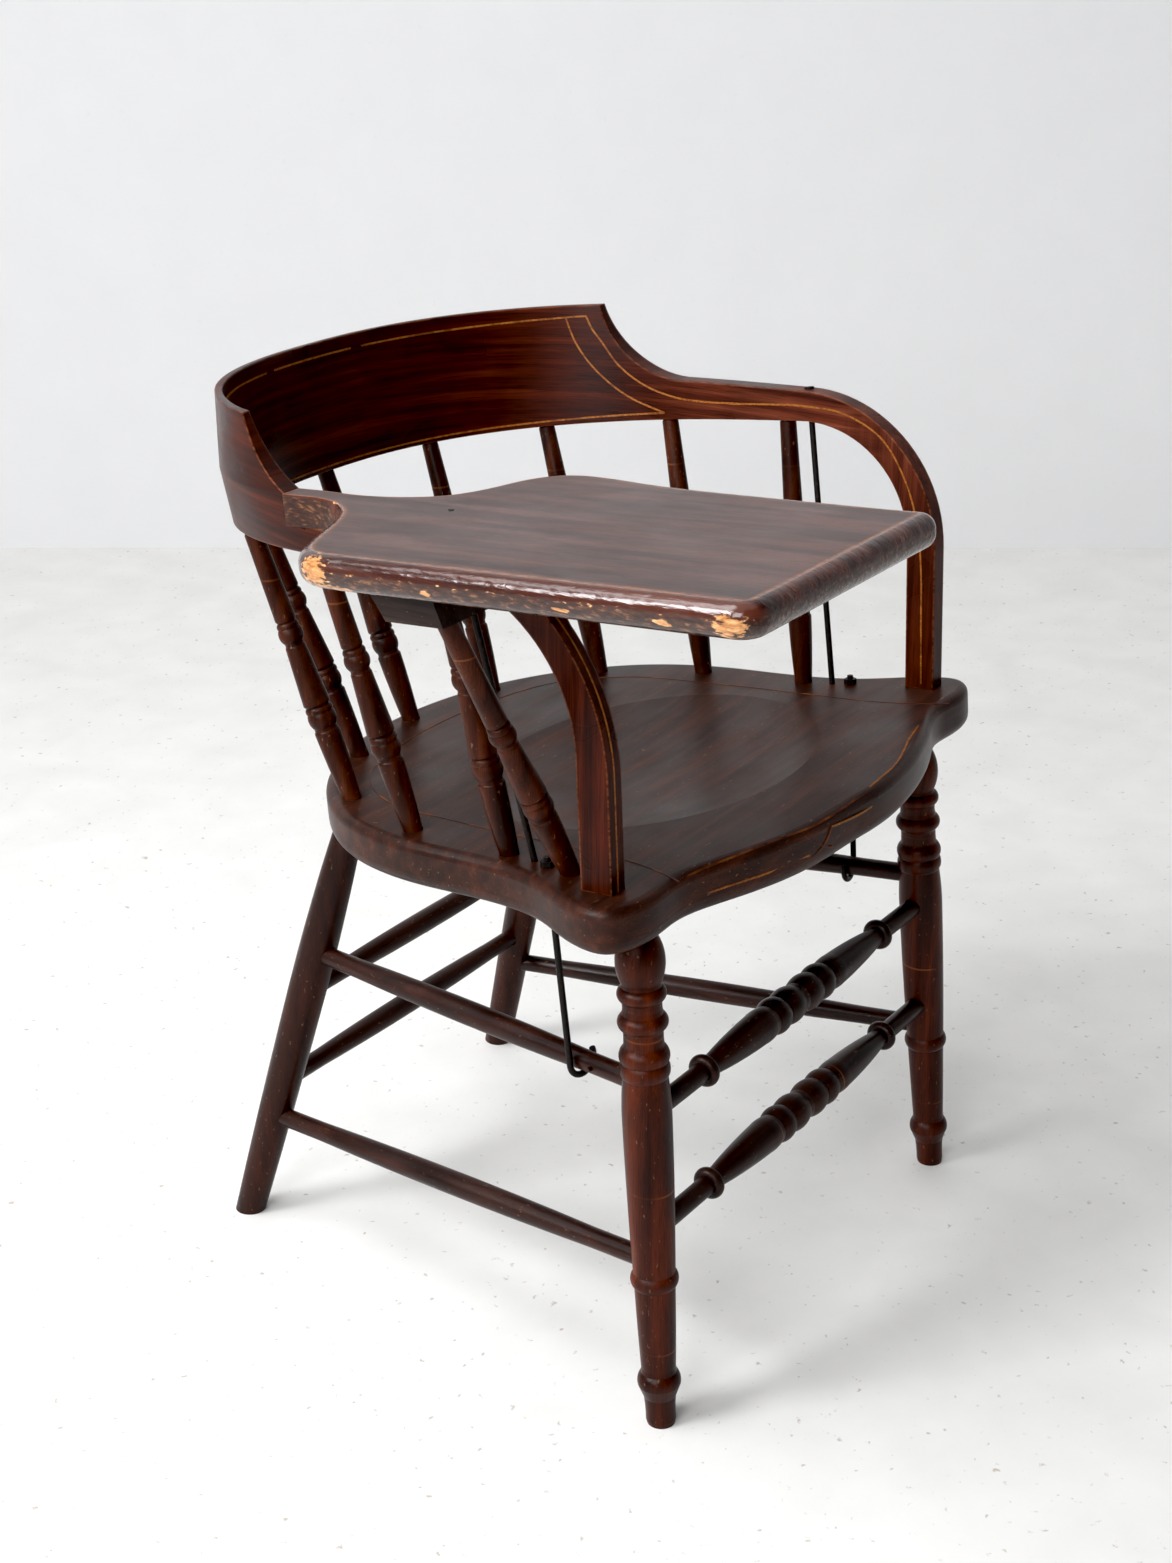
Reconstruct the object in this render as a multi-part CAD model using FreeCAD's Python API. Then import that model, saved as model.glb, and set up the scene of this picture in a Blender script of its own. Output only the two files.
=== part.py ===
import FreeCAD, Part
import math
import os

# A Windsor armchair with a writing tablet, in millimetres, +Z up, floor at z = 0.
# The sitter looks along -Y, has the tablet at the right hand (-X) and the plain arm at the left (+X).
# Places are written about the point on the floor under the middle of the seat. At the end the whole
# chair is moved so that the origin is the middle of its footprint's box.

os.makedirs("parts", exist_ok=True)

# Seat plank, which falls towards the back
seat_height = 445.0
seat_thickness = 38.0
seat_fall_share = 0.088
seat_half_width = 287.0
seat_front_reach = 268.0
seat_rear_reach = 210.0
seat_top_round = 8.0
seat_bottom_round = 12.0
# Half outline from the middle of the front edge round the ear and the waist to the middle of the rear:
# shares of the half width, and of the front reach (negative) or the rear reach
seat_outline_shares = (
    (0.0, -1.0), (0.28, -0.98), (0.54, -0.9), (0.72, -0.838), (0.88, -0.84), (0.99, -0.775),
    (0.978, -0.645), (0.893, -0.47), (0.847, -0.258), (0.83, 0.06), (0.757, 0.405), (0.578, 0.715),
    (0.348, 0.91), (0.0, 1.0),
)
saddle_half_width = 168.0
saddle_half_depth = 128.0
saddle_depth = 8.0
saddle_forward = 64.0

# Legs
front_foot_apart = 465.6
front_foot_forward = 230.0
front_top_apart = 439.6
front_top_forward = 195.6
rear_foot_apart = 378.0
rear_foot_back = 242.9
rear_top_apart = 294.0
rear_top_back = 129.0
leg_line_drop = 18.0
leg_line_height = seat_height - leg_line_drop
leg_socket_depth = 24.0
front_leg_radius = 19.3
rear_leg_radius = 16.6
front_leg_end_radius = 13.0
rear_leg_end_radius = 12.4

# Turned profile of a front leg from the floor up: share of the leg line, share of the leg's radius
front_leg_shares = (
    (0.0, 0.585), (0.008, 0.62), (0.056, 0.665, 0.625), (0.082, 0.885, 0.775), (0.108, 0.735, 0.885),
    (0.117, 0.715), (0.286, 0.84, 0.785), (0.316, 0.865, 0.985), (0.32, 0.865), (0.632, 1.0, 0.955),
    (0.695, 0.925, 0.98), (0.704, 0.905), (0.733, 0.925, 1.01), (0.764, 0.825, 1.01), (0.768, 0.8),
    (0.792, 0.79), (0.796, 0.825), (0.826, 0.82, 1.01), (0.836, 0.785), (0.85, 0.79), (0.878, 0.8, 0.98),
    (0.884, 0.79),
)
front_leg_ball_share = 0.985
front_leg_neck_share = 0.975
# Plain rear leg: a swelling taper, in the same kind of shares
rear_leg_shares = ((0.0, 0.79), (0.5, 0.985, 0.92))
rear_leg_taper_share = 0.955
rear_leg_neck_share = 0.912

# Stretchers: heights on the leg they meet, and sizes
front_upper_height = 268.0
front_lower_height = 169.0
rear_upper_height = 231.0
rear_lower_height = 138.0
side_upper_front_height = 294.0
side_upper_rear_height = 270.0
side_lower_front_height = 143.0
side_lower_rear_height = 103.0
plain_stretcher_radius = 10.1
stretcher_end_radius = 8.2
turned_stretcher_radius = 15.6
stretcher_past_leg_axis = 4.0

plain_end_share = 0.15
turned_end_share = 0.176
# Half of a front stretcher from its first ring to the middle: share of the length, share of the radius
turned_half_shares = (
    (0.198, 0.54, 0.87), (0.21, 0.55), (0.36, 0.915, 0.79), (0.4, 0.83, 0.93),
    (0.442, 0.83, 1.01), (0.494, 0.83, 1.01), (0.5, 0.83),
)

# Bent rail: one board that makes the crest, both arms and both front posts. Each rise is over its lower edge
rail_thickness = 17.0
rail_half_width = 251.0
rail_rear_reach = 279.0
rail_square_front = 40.0
rail_squareness_share = 2.4
rail_over_seat = 230.6
rail_bottom_height = seat_height + rail_over_seat
rail_fall_share = 0.1213
crest_rise = 96.0
crest_top_height = rail_bottom_height + crest_rise
crest_spare = 7.0
crest_height = crest_rise + crest_spare
crest_fall_share = 0.07
crest_top_thickness = 6.5
crest_bevel_start = 46.0
crest_flare_side_share = 0.25
crest_flare_back_share = 0.02
sweep_radius = 86.0
sweep_foot_back = 66.0
arm_rise_back = 26.8
arm_rise_front = 34.0
arm_top_back_height = rail_bottom_height + arm_rise_back
arm_top_front_height = rail_bottom_height + arm_rise_front
arm_top_front = 62.0
left_bend_radius = 127.0
left_bend_inner_radius = 97.0
right_bend_radius = 165.0
right_bend_inner_radius = 124.0
post_depth = 26.6
post_front = 198.8
post_lean_share = 0.045
post_tenon_depth = 24.0
post_tenon_width = 17.0
post_tenon_thickness = 10.0
flare_rise_share = 0.55
flare_power_share = 1.5
rail_curve_steps = 28

# Spindles: place of the foot on the seat and of the head under the rail
spindle_foot_apart = (222.8, 213.9, 178.6, 94.6, 0.0)
spindle_foot_back = (-81.1, 18.7, 110.1, 171.8, 191.0)
# Places of the heads along the rail's curve, from the front of its bend (0) to the middle of the back (0.5)
spindle_head_shares = (0.0, 0.0964, 0.2263, 0.367, 0.5)
spindle_radius = 11.3
# Middles of both bead groups, as shares of the gap between the seat and the rail
spindle_bead_shares = (0.3122, 0.6288)
spindle_foot_radius = 7.9
spindle_head_radius = 7.3
spindle_tenon_radius = 4.8
spindle_tenon_depth = 15.0
spindle_socket_depth = 22.0
spindle_shoulder_chamfer = 1.2
# One bead group: offset from its bead and radius in shares of the spindle radius, and the arc's crest share
lower_group_shares = (
    (-1.2, 0.925, 0.845), (-0.98, 0.83, 0.91), (-0.77, 0.83), (0.35, 0.94, 1.03), (0.84, 0.85, 0.99),
    (1.03, 0.99),
)
upper_group_shares = (
    (-1.2, 0.75), (-0.98, 0.68, 0.74), (-0.77, 0.67), (0.33, 0.76, 0.9), (0.77, 0.65, 0.8), (0.98, 0.76),
)
support_foot_apart = 234.3
support_foot_forward = 145.6
support_head_apart = 346.5
support_head_forward = 123.5
support_tenon_depth = 12.0

# Writing tablet: its top lies parallel to the seat and is let into the right arm
tablet_rise = 42.8
tablet_height = rail_bottom_height + tablet_rise
tablet_thickness = 24.2
tablet_outer_reach = 389.0
tablet_front_reach = 385.0
tablet_nose_round = 10.5
tablet_corner_round = 19.0
tablet_inner_corner_round = 12.0
tablet_inner_front = 147.0
tablet_neck_back = 100.0
tablet_neck_inner = 235.6
tablet_neck_outer = 254.4
tablet_neck_length = 20.0
tablet_shoulder_forward = 52.0
tablet_bottom_round = 10.3
# Points between the neck and the wide part: shares of the outer reach across, shares of the same or of the
# front reach back, and how much of the nose rounding is left there
tablet_shoulder_shares = (
    (0.684, 0.105, 0.3), (0.76, 0.044, 0.8), (0.822, 0.018, 1.0), (0.925, -0.026, 1.0), (0.976, -0.062, 1.0),
)
tablet_inner_shares = (
    (0.607, 0.127, 0.2), (0.594, 0.02, 0.3), (0.552, -0.063, 0.4), (0.468, -0.11, 0.5), (0.388, -0.14, 0.6),
    (0.342, -0.19, 0.7), (0.332, -0.27, 0.8), (0.35, -0.404, 1.0), (0.368, -0.63, 1.0),
)
# Sections of the nose: share of the rounding's height, share of its inset
nose_shares = ((0.0, 1.0), (0.076, 0.617), (0.293, 0.293), (0.617, 0.076), (1.0, 0.0))
# Cleat under the tablet, which holds the support spindle's head
cleat_outer = 361.0
cleat_inner = 276.0
cleat_height = 25.0
cleat_front = 119.0
cleat_rear = 63.0
cleat_front_lean = 9.0
cleat_rear_lean = 16.0
cleat_taper = 34.0

# Ironwork
rod_radius = 2.6
tie_foot_apart = 227.3
tie_foot_forward = 107.7
tie_head_forward = 63.7
hook_foot_apart = 232.1
hook_foot_forward = 123.3
hook_stretcher_share = 0.825
hook_turn = 200.0
rod_head_radius = 4.4
rod_head_height = 2.0
rod_head_round = 1.1
left_head_proud = 1.6
nut_radius = 5.6
nut_height = 4.6
rod_past_nut = 3.0
screw_head_radius = 4.2
screw_radius = 1.9
screw_head_height = 2.4
screw_slot = 0.9
screw_length = 34.0
# Cleat screws: across and forward
screw_places = ((345.0, 88.0), (318.0, 108.0))
peg_radius = 2.0
peg_length = 14.0
peg_proud = 1.6
peg_share = 0.87

# Fits
fit = 0.12
flat_arc = 0.001
overrun = 60.0
foot_extra = 6.0

Vec = FreeCAD.Vector
up = Vec(0, 0, 1)
origin = Vec(0, 0, 0)


# A length along the seat's or the tablet's slope for each unit of level run
level_stretch = math.hypot(1, seat_fall_share)
sides = (1, -1)


def seat_top(y):
    """Height of the seat's flat top at a place along Y."""
    return seat_height - seat_fall_share * y


def rail_bottom(y):
    return rail_bottom_height - rail_fall_share * y


def tablet_top(y):
    return tablet_height - seat_fall_share * y


def between(a, b, share):
    return a + (b - a) * share


def unit(v):
    return v * (1.0 / v.Length)


def meeting(start, end, level, fall_share):
    """Where a line meets a plane that has a height at y = 0 and falls towards the back."""
    run = end - start
    return start + run * ((level - fall_share * start.y - start.z) / (run.z + fall_share * run.y))


def aim(shape, start, end):
    """Turns a shape that was made along +Z to run from start towards end."""
    shape.Placement = FreeCAD.Placement(start, FreeCAD.Rotation(up, end - start))
    return shape.copy()


def rod(start, end, radius):
    return Part.makeCylinder(radius, (end - start).Length, start, end - start)


def socket(mouth, inside, radius, clearance=fit):
    """Round cutter from well outside the mouth to the bottom of a blind hole."""
    out = mouth + unit(mouth - inside) * overrun
    return rod(out, inside, radius + clearance)


def turned(stations):
    """Solid of revolution about Z. A station is (height, radius) joined by a straight run to the one before,
    or (height, radius, swell) joined by an arc that passes at the radius swell halfway."""
    edges = []
    first_height, first_radius = stations[0][0], stations[0][1]
    here = Vec(first_radius, 0, first_height)
    edges.append(Part.LineSegment(Vec(0, 0, first_height), here).toShape())
    for station in stations[1:]:
        there = Vec(station[1], 0, station[0])
        if len(station) == 3 and abs(station[2] - (here.x + there.x) / 2) > flat_arc:
            middle = Vec(station[2], 0, (here.z + there.z) / 2)
            edges.append(Part.Arc(here, middle, there).toShape())
        else:
            edges.append(Part.LineSegment(here, there).toShape())
        here = there
    edges.append(Part.LineSegment(here, Vec(0, 0, here.z)).toShape())
    edges.append(Part.LineSegment(Vec(0, 0, here.z), Vec(0, 0, first_height)).toShape())
    face = Part.Face(Part.Wire(edges))
    return face.revolve(origin, up, 360)


def extruded_x(edges, low, high):
    """Solid between two planes square to X from a closed outline drawn at x = 0."""
    face = Part.Face(Part.Wire(edges))
    face.translate(Vec(low, 0, 0))
    return face.extrude(Vec(high - low, 0, 0))


def line(a, b):
    return Part.LineSegment(a, b).toShape()


def side(y, z):
    """A point of a side outline."""
    return Vec(0, y, z)


# Seat

def seat_blank():
    right = []
    for across, along in seat_outline_shares:
        reach = seat_front_reach if along < 0 else seat_rear_reach
        right.append((across * seat_half_width, along * reach))
    left = [(-x, y) for x, y in reversed(right[1:-1])]
    ring = Part.BSplineCurve()
    ring.interpolate(Points=[Vec(x, y, 0) for x, y in right + left], PeriodicFlag=True)
    face = Part.Face(Part.Wire([ring.toShape()]))
    plank = face.extrude(Vec(0, 0, -seat_thickness))
    top_edges = [e for e in plank.Edges if abs(e.BoundBox.ZMin) < fit]
    plank = plank.makeFillet(seat_top_round, top_edges)
    bottom_edges = [e for e in plank.Edges if abs(e.BoundBox.ZMax + seat_thickness) < fit]
    return plank.makeFillet(seat_bottom_round, bottom_edges)


def saddle():
    """Shallow round dish, made as a cap of a ball and stretched to its width and depth."""
    ball_radius = (saddle_half_width ** 2 + saddle_depth ** 2) / (2 * saddle_depth)
    ball = Part.makeSphere(ball_radius, Vec(0, 0, ball_radius - saddle_depth))
    lid = Part.makeBox(4 * saddle_half_width, 4 * saddle_half_width, 2 * saddle_depth)
    lid.translate(Vec(-2 * saddle_half_width, -2 * saddle_half_width, -saddle_depth))
    cap = ball.common(lid)
    squash = FreeCAD.Matrix()
    squash.scale(1, saddle_half_depth / saddle_half_width, 1)
    cap = cap.transformGeometry(squash)
    cap.translate(Vec(0, -saddle_forward, 0))
    return cap


def tilt_to_seat(shape, height=seat_height):
    """From a level top at z = 0 to the seat's fall and height."""
    shape.rotate(origin, Vec(1, 0, 0), -math.degrees(math.atan(seat_fall_share)))
    shape.translate(Vec(0, 0, height))
    return shape


def tilt_to_tablet(shape):
    return tilt_to_seat(shape, tablet_height)


# Legs

def leg_line(front, side_sign):
    if front:
        foot = Vec(side_sign * front_foot_apart / 2, -front_foot_forward, 0)
        top = Vec(side_sign * front_top_apart / 2, -front_top_forward, leg_line_height)
    else:
        foot = Vec(side_sign * rear_foot_apart / 2, rear_foot_back, 0)
        top = Vec(side_sign * rear_top_apart / 2, rear_top_back, leg_line_height)
    return foot, top


def on_leg(front, side_sign, height):
    foot, top = leg_line(front, side_sign)
    return between(foot, top, height / leg_line_height)


def leg(profile, radius, front, side_sign):
    """A turned leg whose foot is cut level with the floor and whose top fills its socket in the seat."""
    foot, top = leg_line(front, side_sign)
    length = (top - foot).Length
    below = foot - unit(top - foot) * foot_extra
    stations = [(0, profile[0][1] * radius)]
    for station in profile:
        radii = [share * radius for share in station[1:]]
        stations.append((station[0] * length + foot_extra, *radii))
    end = leg_seat_mouth(front, side_sign) + unit(top - foot) * leg_socket_depth
    stations.append(((end - below).Length, stations[-1][1]))
    corner = Vec(foot.x - overrun / 2, foot.y - overrun / 2, -overrun)
    floor = Part.makeBox(overrun, overrun, overrun, corner)
    return aim(turned(stations), below, end).cut(floor)


def leg_seat_mouth(front, side_sign):
    """Where a leg's axis meets the underside of the seat."""
    foot, top = leg_line(front, side_sign)
    return under_seat(foot, top)


def front_leg(side_sign):
    neck = (front_leg_neck_share, front_leg_end_radius / front_leg_radius, front_leg_ball_share)
    return leg(front_leg_shares + (neck,), front_leg_radius, True, side_sign)


def rear_leg(side_sign):
    neck = (rear_leg_neck_share, rear_leg_end_radius / rear_leg_radius, rear_leg_taper_share)
    return leg(rear_leg_shares + (neck,), rear_leg_radius, False, side_sign)


# Stretchers run between two points on leg axes; their ends stop a little past the axes

def stretcher_ends(start, end):
    past = unit(end - start) * stretcher_past_leg_axis
    return start - past, end + past


def plain_stretcher(start, end):
    a, b = stretcher_ends(start, end)
    length = (b - a).Length
    r = stretcher_end_radius
    swell = plain_stretcher_radius
    bare = length * plain_end_share
    stations = [(0, r), (bare, r), (length - bare, r, swell), (length, r)]
    return aim(turned(stations), a, b)


def turned_stretcher(start, end):
    """Ring, vase and a cluster of four beads, the same from either end."""
    a, b = stretcher_ends(start, end)
    length = (b - a).Length
    stations = [(0, stretcher_end_radius), (turned_end_share * length, stretcher_end_radius)]
    for share, *radii in turned_half_shares:
        stations.append((share * length, *[k * turned_stretcher_radius for k in radii]))
    back = stations[::-1]
    for here, before in zip(back, back[1:]):
        stations.append((length - before[0], before[1], *here[2:]))
    return aim(turned(stations), a, b)


# Spindles

def spindle_line(index, side_sign):
    foot_y = spindle_foot_back[index]
    foot = Vec(side_sign * spindle_foot_apart[index], foot_y, seat_top(foot_y))
    return foot, rail_underside(spindle_head_shares[index], side_sign)


def spindle_stations():
    """Profile from the bottom of the seat socket past both groups of beads."""
    foot_end = spindle_socket_depth + spindle_foot_radius / 2
    stations = [(0, spindle_foot_radius), (foot_end, spindle_foot_radius)]
    for bead_share, group in zip(spindle_bead_shares, (lower_group_shares, upper_group_shares)):
        middle = spindle_socket_depth + bead_share * rail_over_seat
        for offset, *radii in group:
            stations.append((middle + offset * spindle_radius, *[k * spindle_radius for k in radii]))
    return stations


def fitted_spindle(foot, head, slimming, above, tenon_depth):
    """Spindle from the bottom of its seat socket, trimmed under the piece above, with a slim tenon."""
    along = unit(head - foot)
    stations = spindle_stations()
    length = spindle_socket_depth + (head - foot).Length
    stations.append((length - 2 * spindle_shoulder_chamfer, spindle_head_radius))
    stations.append((length, spindle_head_radius - slimming))
    stations.append((length + spindle_head_radius, spindle_head_radius - slimming))
    body = aim(turned(stations), foot - along * spindle_socket_depth, head).cut(above)
    body = max(body.Solids, key=lambda solid: solid.Volume)
    tenon = rod(head - along * spindle_radius, head + along * tenon_depth, spindle_tenon_radius)
    return body.fuse(tenon).removeSplitter()


def foot_socket(foot, head):
    return socket(foot, foot - unit(head - foot) * (spindle_socket_depth + fit), spindle_foot_radius)


def head_socket(foot, head):
    return socket(head, head + unit(head - foot) * (spindle_tenon_depth + fit), spindle_tenon_radius)


# Bent rail

def rail_plan(share, offset):
    """Point of the rail's plan curve in its own sloping plane, from the front of the left arm's bend (0)
    round the back to the right (1)."""
    stretch = math.hypot(1, rail_fall_share)
    reach = (rail_rear_reach + rail_square_front) * stretch
    c, s = math.cos(math.pi * share), math.sin(math.pi * share)
    power = 2 / rail_squareness_share
    x = math.copysign(abs(c) ** power, c) * rail_half_width
    y = abs(s) ** power * reach
    steep = rail_squareness_share - 1
    across = math.copysign(abs(x / rail_half_width) ** steep, x) / rail_half_width
    along = (y / reach) ** steep / reach
    size = math.hypot(across, along)
    return Vec(x + across / size * offset, y - rail_square_front * stretch + along / size * offset, 0)


def rail_underside(share, side_sign):
    """Middle of the rail's lower edge at a share of its curve, in the chair's frame."""
    place = rail_plan(share, 0)
    y = place.y / math.hypot(1, rail_fall_share)
    return Vec(side_sign * place.x, y, rail_bottom(y))


def flare(share, bevelled):
    """Outward lean of the board: none along the arms, most at the crest's ends, less at the back.
    The bevel that thins the crest's upper half leans the other way."""
    back = math.sin(math.pi * share)
    rise = min(1, back / flare_rise_share)
    ease = rise * rise * (3 - 2 * rise)
    lean = between(crest_flare_side_share, crest_flare_back_share, back ** flare_power_share)
    if bevelled:
        lean -= (rail_thickness - crest_top_thickness) / (crest_height - crest_bevel_start)
    return ease * lean


def rail_curve(offset, height):
    """One face of the board behind its straight arms, with its two end points."""
    plain = height if offset < 0 else min(height, crest_bevel_start)
    points = []
    for step in range(rail_curve_steps + 1):
        share = step / rail_curve_steps
        lean = flare(share, False) * plain + flare(share, True) * (height - plain)
        points.append(rail_plan(share, offset + lean))
    spline = Part.BSplineCurve()
    spline.interpolate(Points=points, InitialTangent=Vec(0, 1, 0), FinalTangent=Vec(0, -1, 0))
    return spline.toShape(), points[0], points[-1]


def rail_ring(height):
    """Closed plan outline of the board at a height over the plane of its lower edge."""
    front = -(post_front + 2 * overrun)
    outer, outer_left, outer_right = rail_curve(rail_thickness / 2, height)
    inner, inner_left, inner_right = rail_curve(-rail_thickness / 2, height)
    a, b, c, d = [Vec(p.x, front, 0) for p in (outer_left, outer_right, inner_right, inner_left)]
    edges = [
        line(a, outer_left), outer, line(outer_right, b), line(b, c), line(c, inner_right), inner,
        line(inner_left, d), line(d, a),
    ]
    wire = Part.Wire(Part.__sortEdges__(edges))
    wire.translate(Vec(0, 0, height))
    return wire


def rail_slab():
    """The board before its outline is sawn, with straight arms and room for the posts."""
    low = seat_height - rail_bottom_height - overrun
    rings = [rail_ring(low), rail_ring(crest_bevel_start), rail_ring(crest_height + crest_bevel_start / 2)]
    slab = Part.makeLoft(rings, True, True)
    slab.rotate(origin, Vec(1, 0, 0), -math.degrees(math.atan(rail_fall_share)))
    slab.translate(Vec(0, 0, rail_bottom_height))
    return slab


def rounded(before, corner, after, radius):
    """Tangent points and middle of the arc that rounds a corner between two straight runs."""
    back, on = unit(before - corner), unit(after - corner)
    half_turn = math.acos(back * on) / 2
    reach = radius / math.tan(half_turn)
    centre = corner + unit(back + on) * (radius / math.sin(half_turn))
    return corner + back * reach, centre + unit(corner - centre) * radius, corner + on * reach


def crossing(a, b, c, d):
    """Point where line a-b meets line c-d in a side view."""
    run, other = b - a, d - c
    share = ((c.y - a.y) * other.z - (c.z - a.z) * other.y) / (run.y * other.z - run.z * other.y)
    return a + run * share


def arm_top(y):
    slope = (arm_top_front_height - arm_top_back_height) / (arm_top_front + sweep_foot_back)
    return arm_top_back_height + slope * (sweep_foot_back - y)


def crest_top(y):
    return crest_top_height - crest_fall_share * y


def post_edges():
    """Feet of a post's front and rear edges on the seat, and the direction both run up."""
    front_y, rear_y = -post_front, post_depth - post_front
    return side(front_y, seat_top(front_y)), side(rear_y, seat_top(rear_y)), side(post_lean_share, 1)


def rail_side(outer_radius, inner_radius):
    """Side outline of one half: crest, sweep, arm, bend and post."""
    far = rail_rear_reach + 2 * overrun
    foot_z = arm_top(sweep_foot_back)
    centre_z = foot_z + sweep_radius
    # The sweep is an arc over its foot; it ends where it meets the crest's straight top
    over = crest_top(sweep_foot_back) - centre_z
    steep = 1 + crest_fall_share ** 2
    reach = (crest_fall_share * over + math.sqrt(steep * sweep_radius ** 2 - over ** 2)) / steep
    corner_y = sweep_foot_back + reach
    corner = side(corner_y, crest_top(corner_y))
    foot = side(sweep_foot_back, foot_z)
    turn = math.atan2(reach, centre_z - corner.z) / 2
    middle = side(sweep_foot_back + sweep_radius * math.sin(turn), centre_z - sweep_radius * math.cos(turn))
    post_foot, rear_foot, rise = post_edges()
    crest_back = side(far, crest_top(far))
    bottom_back = side(far, rail_bottom(far))
    outer_corner = crossing(foot, side(-arm_top_front, arm_top_front_height), post_foot, post_foot + rise)
    inner_corner = crossing(bottom_back, side(0, rail_bottom_height), rear_foot, rear_foot + rise)
    a1, a2, a3 = rounded(foot, outer_corner, post_foot, outer_radius)
    b1, b2, b3 = rounded(rear_foot, inner_corner, bottom_back, inner_radius)
    return [
        line(crest_back, corner), Part.Arc(corner, middle, foot).toShape(), line(foot, a1),
        Part.Arc(a1, a2, a3).toShape(), line(a3, post_foot), line(post_foot, rear_foot), line(rear_foot, b1),
        Part.Arc(b1, b2, b3).toShape(), line(b3, bottom_back), line(bottom_back, crest_back),
    ]


def post_tenon(side_sign, margin):
    """Tenon under a post, with its upper end inside the post; a margin makes it a cutter for the mortise."""
    front, rear, rise = post_edges()
    middle = (front + rear) * 0.5
    half = unit(rear - front) * (post_tenon_width / 2 + margin)
    low = middle - rise * (post_tenon_depth + margin)
    high = middle + rise * post_tenon_width
    outline = [line(low - half, low + half), line(low + half, high + half)]
    outline += [line(high + half, high - half), line(high - half, low - half)]
    thin = post_tenon_thickness / 2 + margin
    return extruded_x(outline, side_sign * rail_half_width - thin, side_sign * rail_half_width + thin)


def tablet_notch():
    """Room in the right arm for the tablet: all above the tablet's underside, as far back as its neck."""
    long = post_front + overrun + tablet_neck_back * level_stretch + fit
    room = Part.makeBox(2 * rail_half_width, long, 2 * crest_height)
    room.translate(Vec(-2 * rail_half_width, -post_front - overrun, -tablet_thickness))
    return tilt_to_tablet(room)


def rail():
    wide = rail_half_width * 2
    left = extruded_x(rail_side(left_bend_radius, left_bend_inner_radius), 0, wide)
    right = extruded_x(rail_side(right_bend_radius, right_bend_inner_radius), -wide, 0)
    board = rail_slab().common(left.fuse(right).removeSplitter())
    board = board.cut(tablet_notch())
    return board.fuse([post_tenon(side_sign, 0) for side_sign in sides]).removeSplitter()


# Writing tablet, its cleat and support

def tablet_outline():
    """Corners and curve points of the tablet seen from above, each with its share of the nose rounding."""
    neck_front = tablet_neck_back - tablet_neck_length
    outer = [(-tablet_neck_outer, tablet_neck_back, 0), (-tablet_neck_outer, neck_front, 0)]
    for across, back, share in tablet_shoulder_shares:
        outer.append((-across * tablet_outer_reach, back * tablet_outer_reach, share))
    outer.append((-tablet_outer_reach, -tablet_shoulder_forward, 1))
    inner = [(-tablet_neck_inner, tablet_neck_back, 0), (-tablet_neck_inner, neck_front, 0)]
    for across, back, share in tablet_inner_shares:
        inner.append((-across * tablet_outer_reach, back * tablet_front_reach, share))
    return outer, inner


def moved_in(points, inset, turn):
    """Curve points moved towards the tablet's middle, each by its own share of an inset."""
    moved = []
    for index, (x, y, share) in enumerate(points):
        before = points[max(index - 1, 0)]
        after = points[min(index + 1, len(points) - 1)]
        across = unit(Vec(after[0] - before[0], after[1] - before[1], 0).cross(up)) * turn
        place = Vec(x, y, 0) + across * (inset * share)
        moved.append(Vec(place.x, place.y * level_stretch, 0))
    return moved


def curve_through(points):
    """Spline that starts and ends along Y, with its two end points."""
    spline = Part.BSplineCurve()
    heading = Vec(0, math.copysign(1, points[-1].y - points[0].y), 0)
    spline.interpolate(Points=points, InitialTangent=heading, FinalTangent=heading)
    return spline.toShape()


def corner_arc(centre, radius, turn):
    """Quarter turn at a front corner of the tablet, from the outer side (-1) or to the inner side (1)."""
    beside, low = centre + Vec(turn * radius, 0, 0), centre + Vec(0, -radius, 0)
    middle = centre + unit(Vec(turn, -1, 0)) * radius
    return Part.Arc(beside, middle, low).toShape()


def tablet_ring(inset, depth):
    """Closed outline of the tablet at a depth under its top, with an inset at the nose."""
    outer, inner = tablet_outline()
    outer = moved_in(outer, inset, -1)
    inner = moved_in(inner, inset, 1)
    front = -tablet_front_reach * level_stretch
    big = Vec(tablet_corner_round - tablet_outer_reach, front + tablet_corner_round, 0)
    small = Vec(-tablet_inner_front - tablet_inner_corner_round, front + tablet_inner_corner_round, 0)
    big_radius, small_radius = tablet_corner_round - inset, tablet_inner_corner_round - inset
    inner.append(small + Vec(small_radius, 0, 0))
    edges = [
        line(inner[0], outer[0]), line(outer[0], outer[1]), curve_through(outer[1:]),
        line(outer[-1], big - Vec(big_radius, 0, 0)), corner_arc(big, big_radius, -1),
        line(big - Vec(0, big_radius, 0), small - Vec(0, small_radius, 0)),
        corner_arc(small, small_radius, 1),
        curve_through(inner[1:][::-1]), line(inner[1], inner[0]),
    ]
    wire = Part.Wire(Part.__sortEdges__(edges))
    wire.translate(Vec(0, 0, -depth))
    return wire


def tablet():
    rings = []
    for down, across in nose_shares:
        rings.append(tablet_ring(across * tablet_nose_round, down * tablet_nose_round))
    flat = tablet_thickness - tablet_nose_round - tablet_bottom_round
    rings.append(tablet_ring(0, tablet_nose_round + flat / 2))
    for down, across in reversed(nose_shares):
        rings.append(tablet_ring(across * tablet_bottom_round, tablet_thickness - down * tablet_bottom_round))
    return tilt_to_tablet(Part.makeLoft(rings, True, False))


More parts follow.
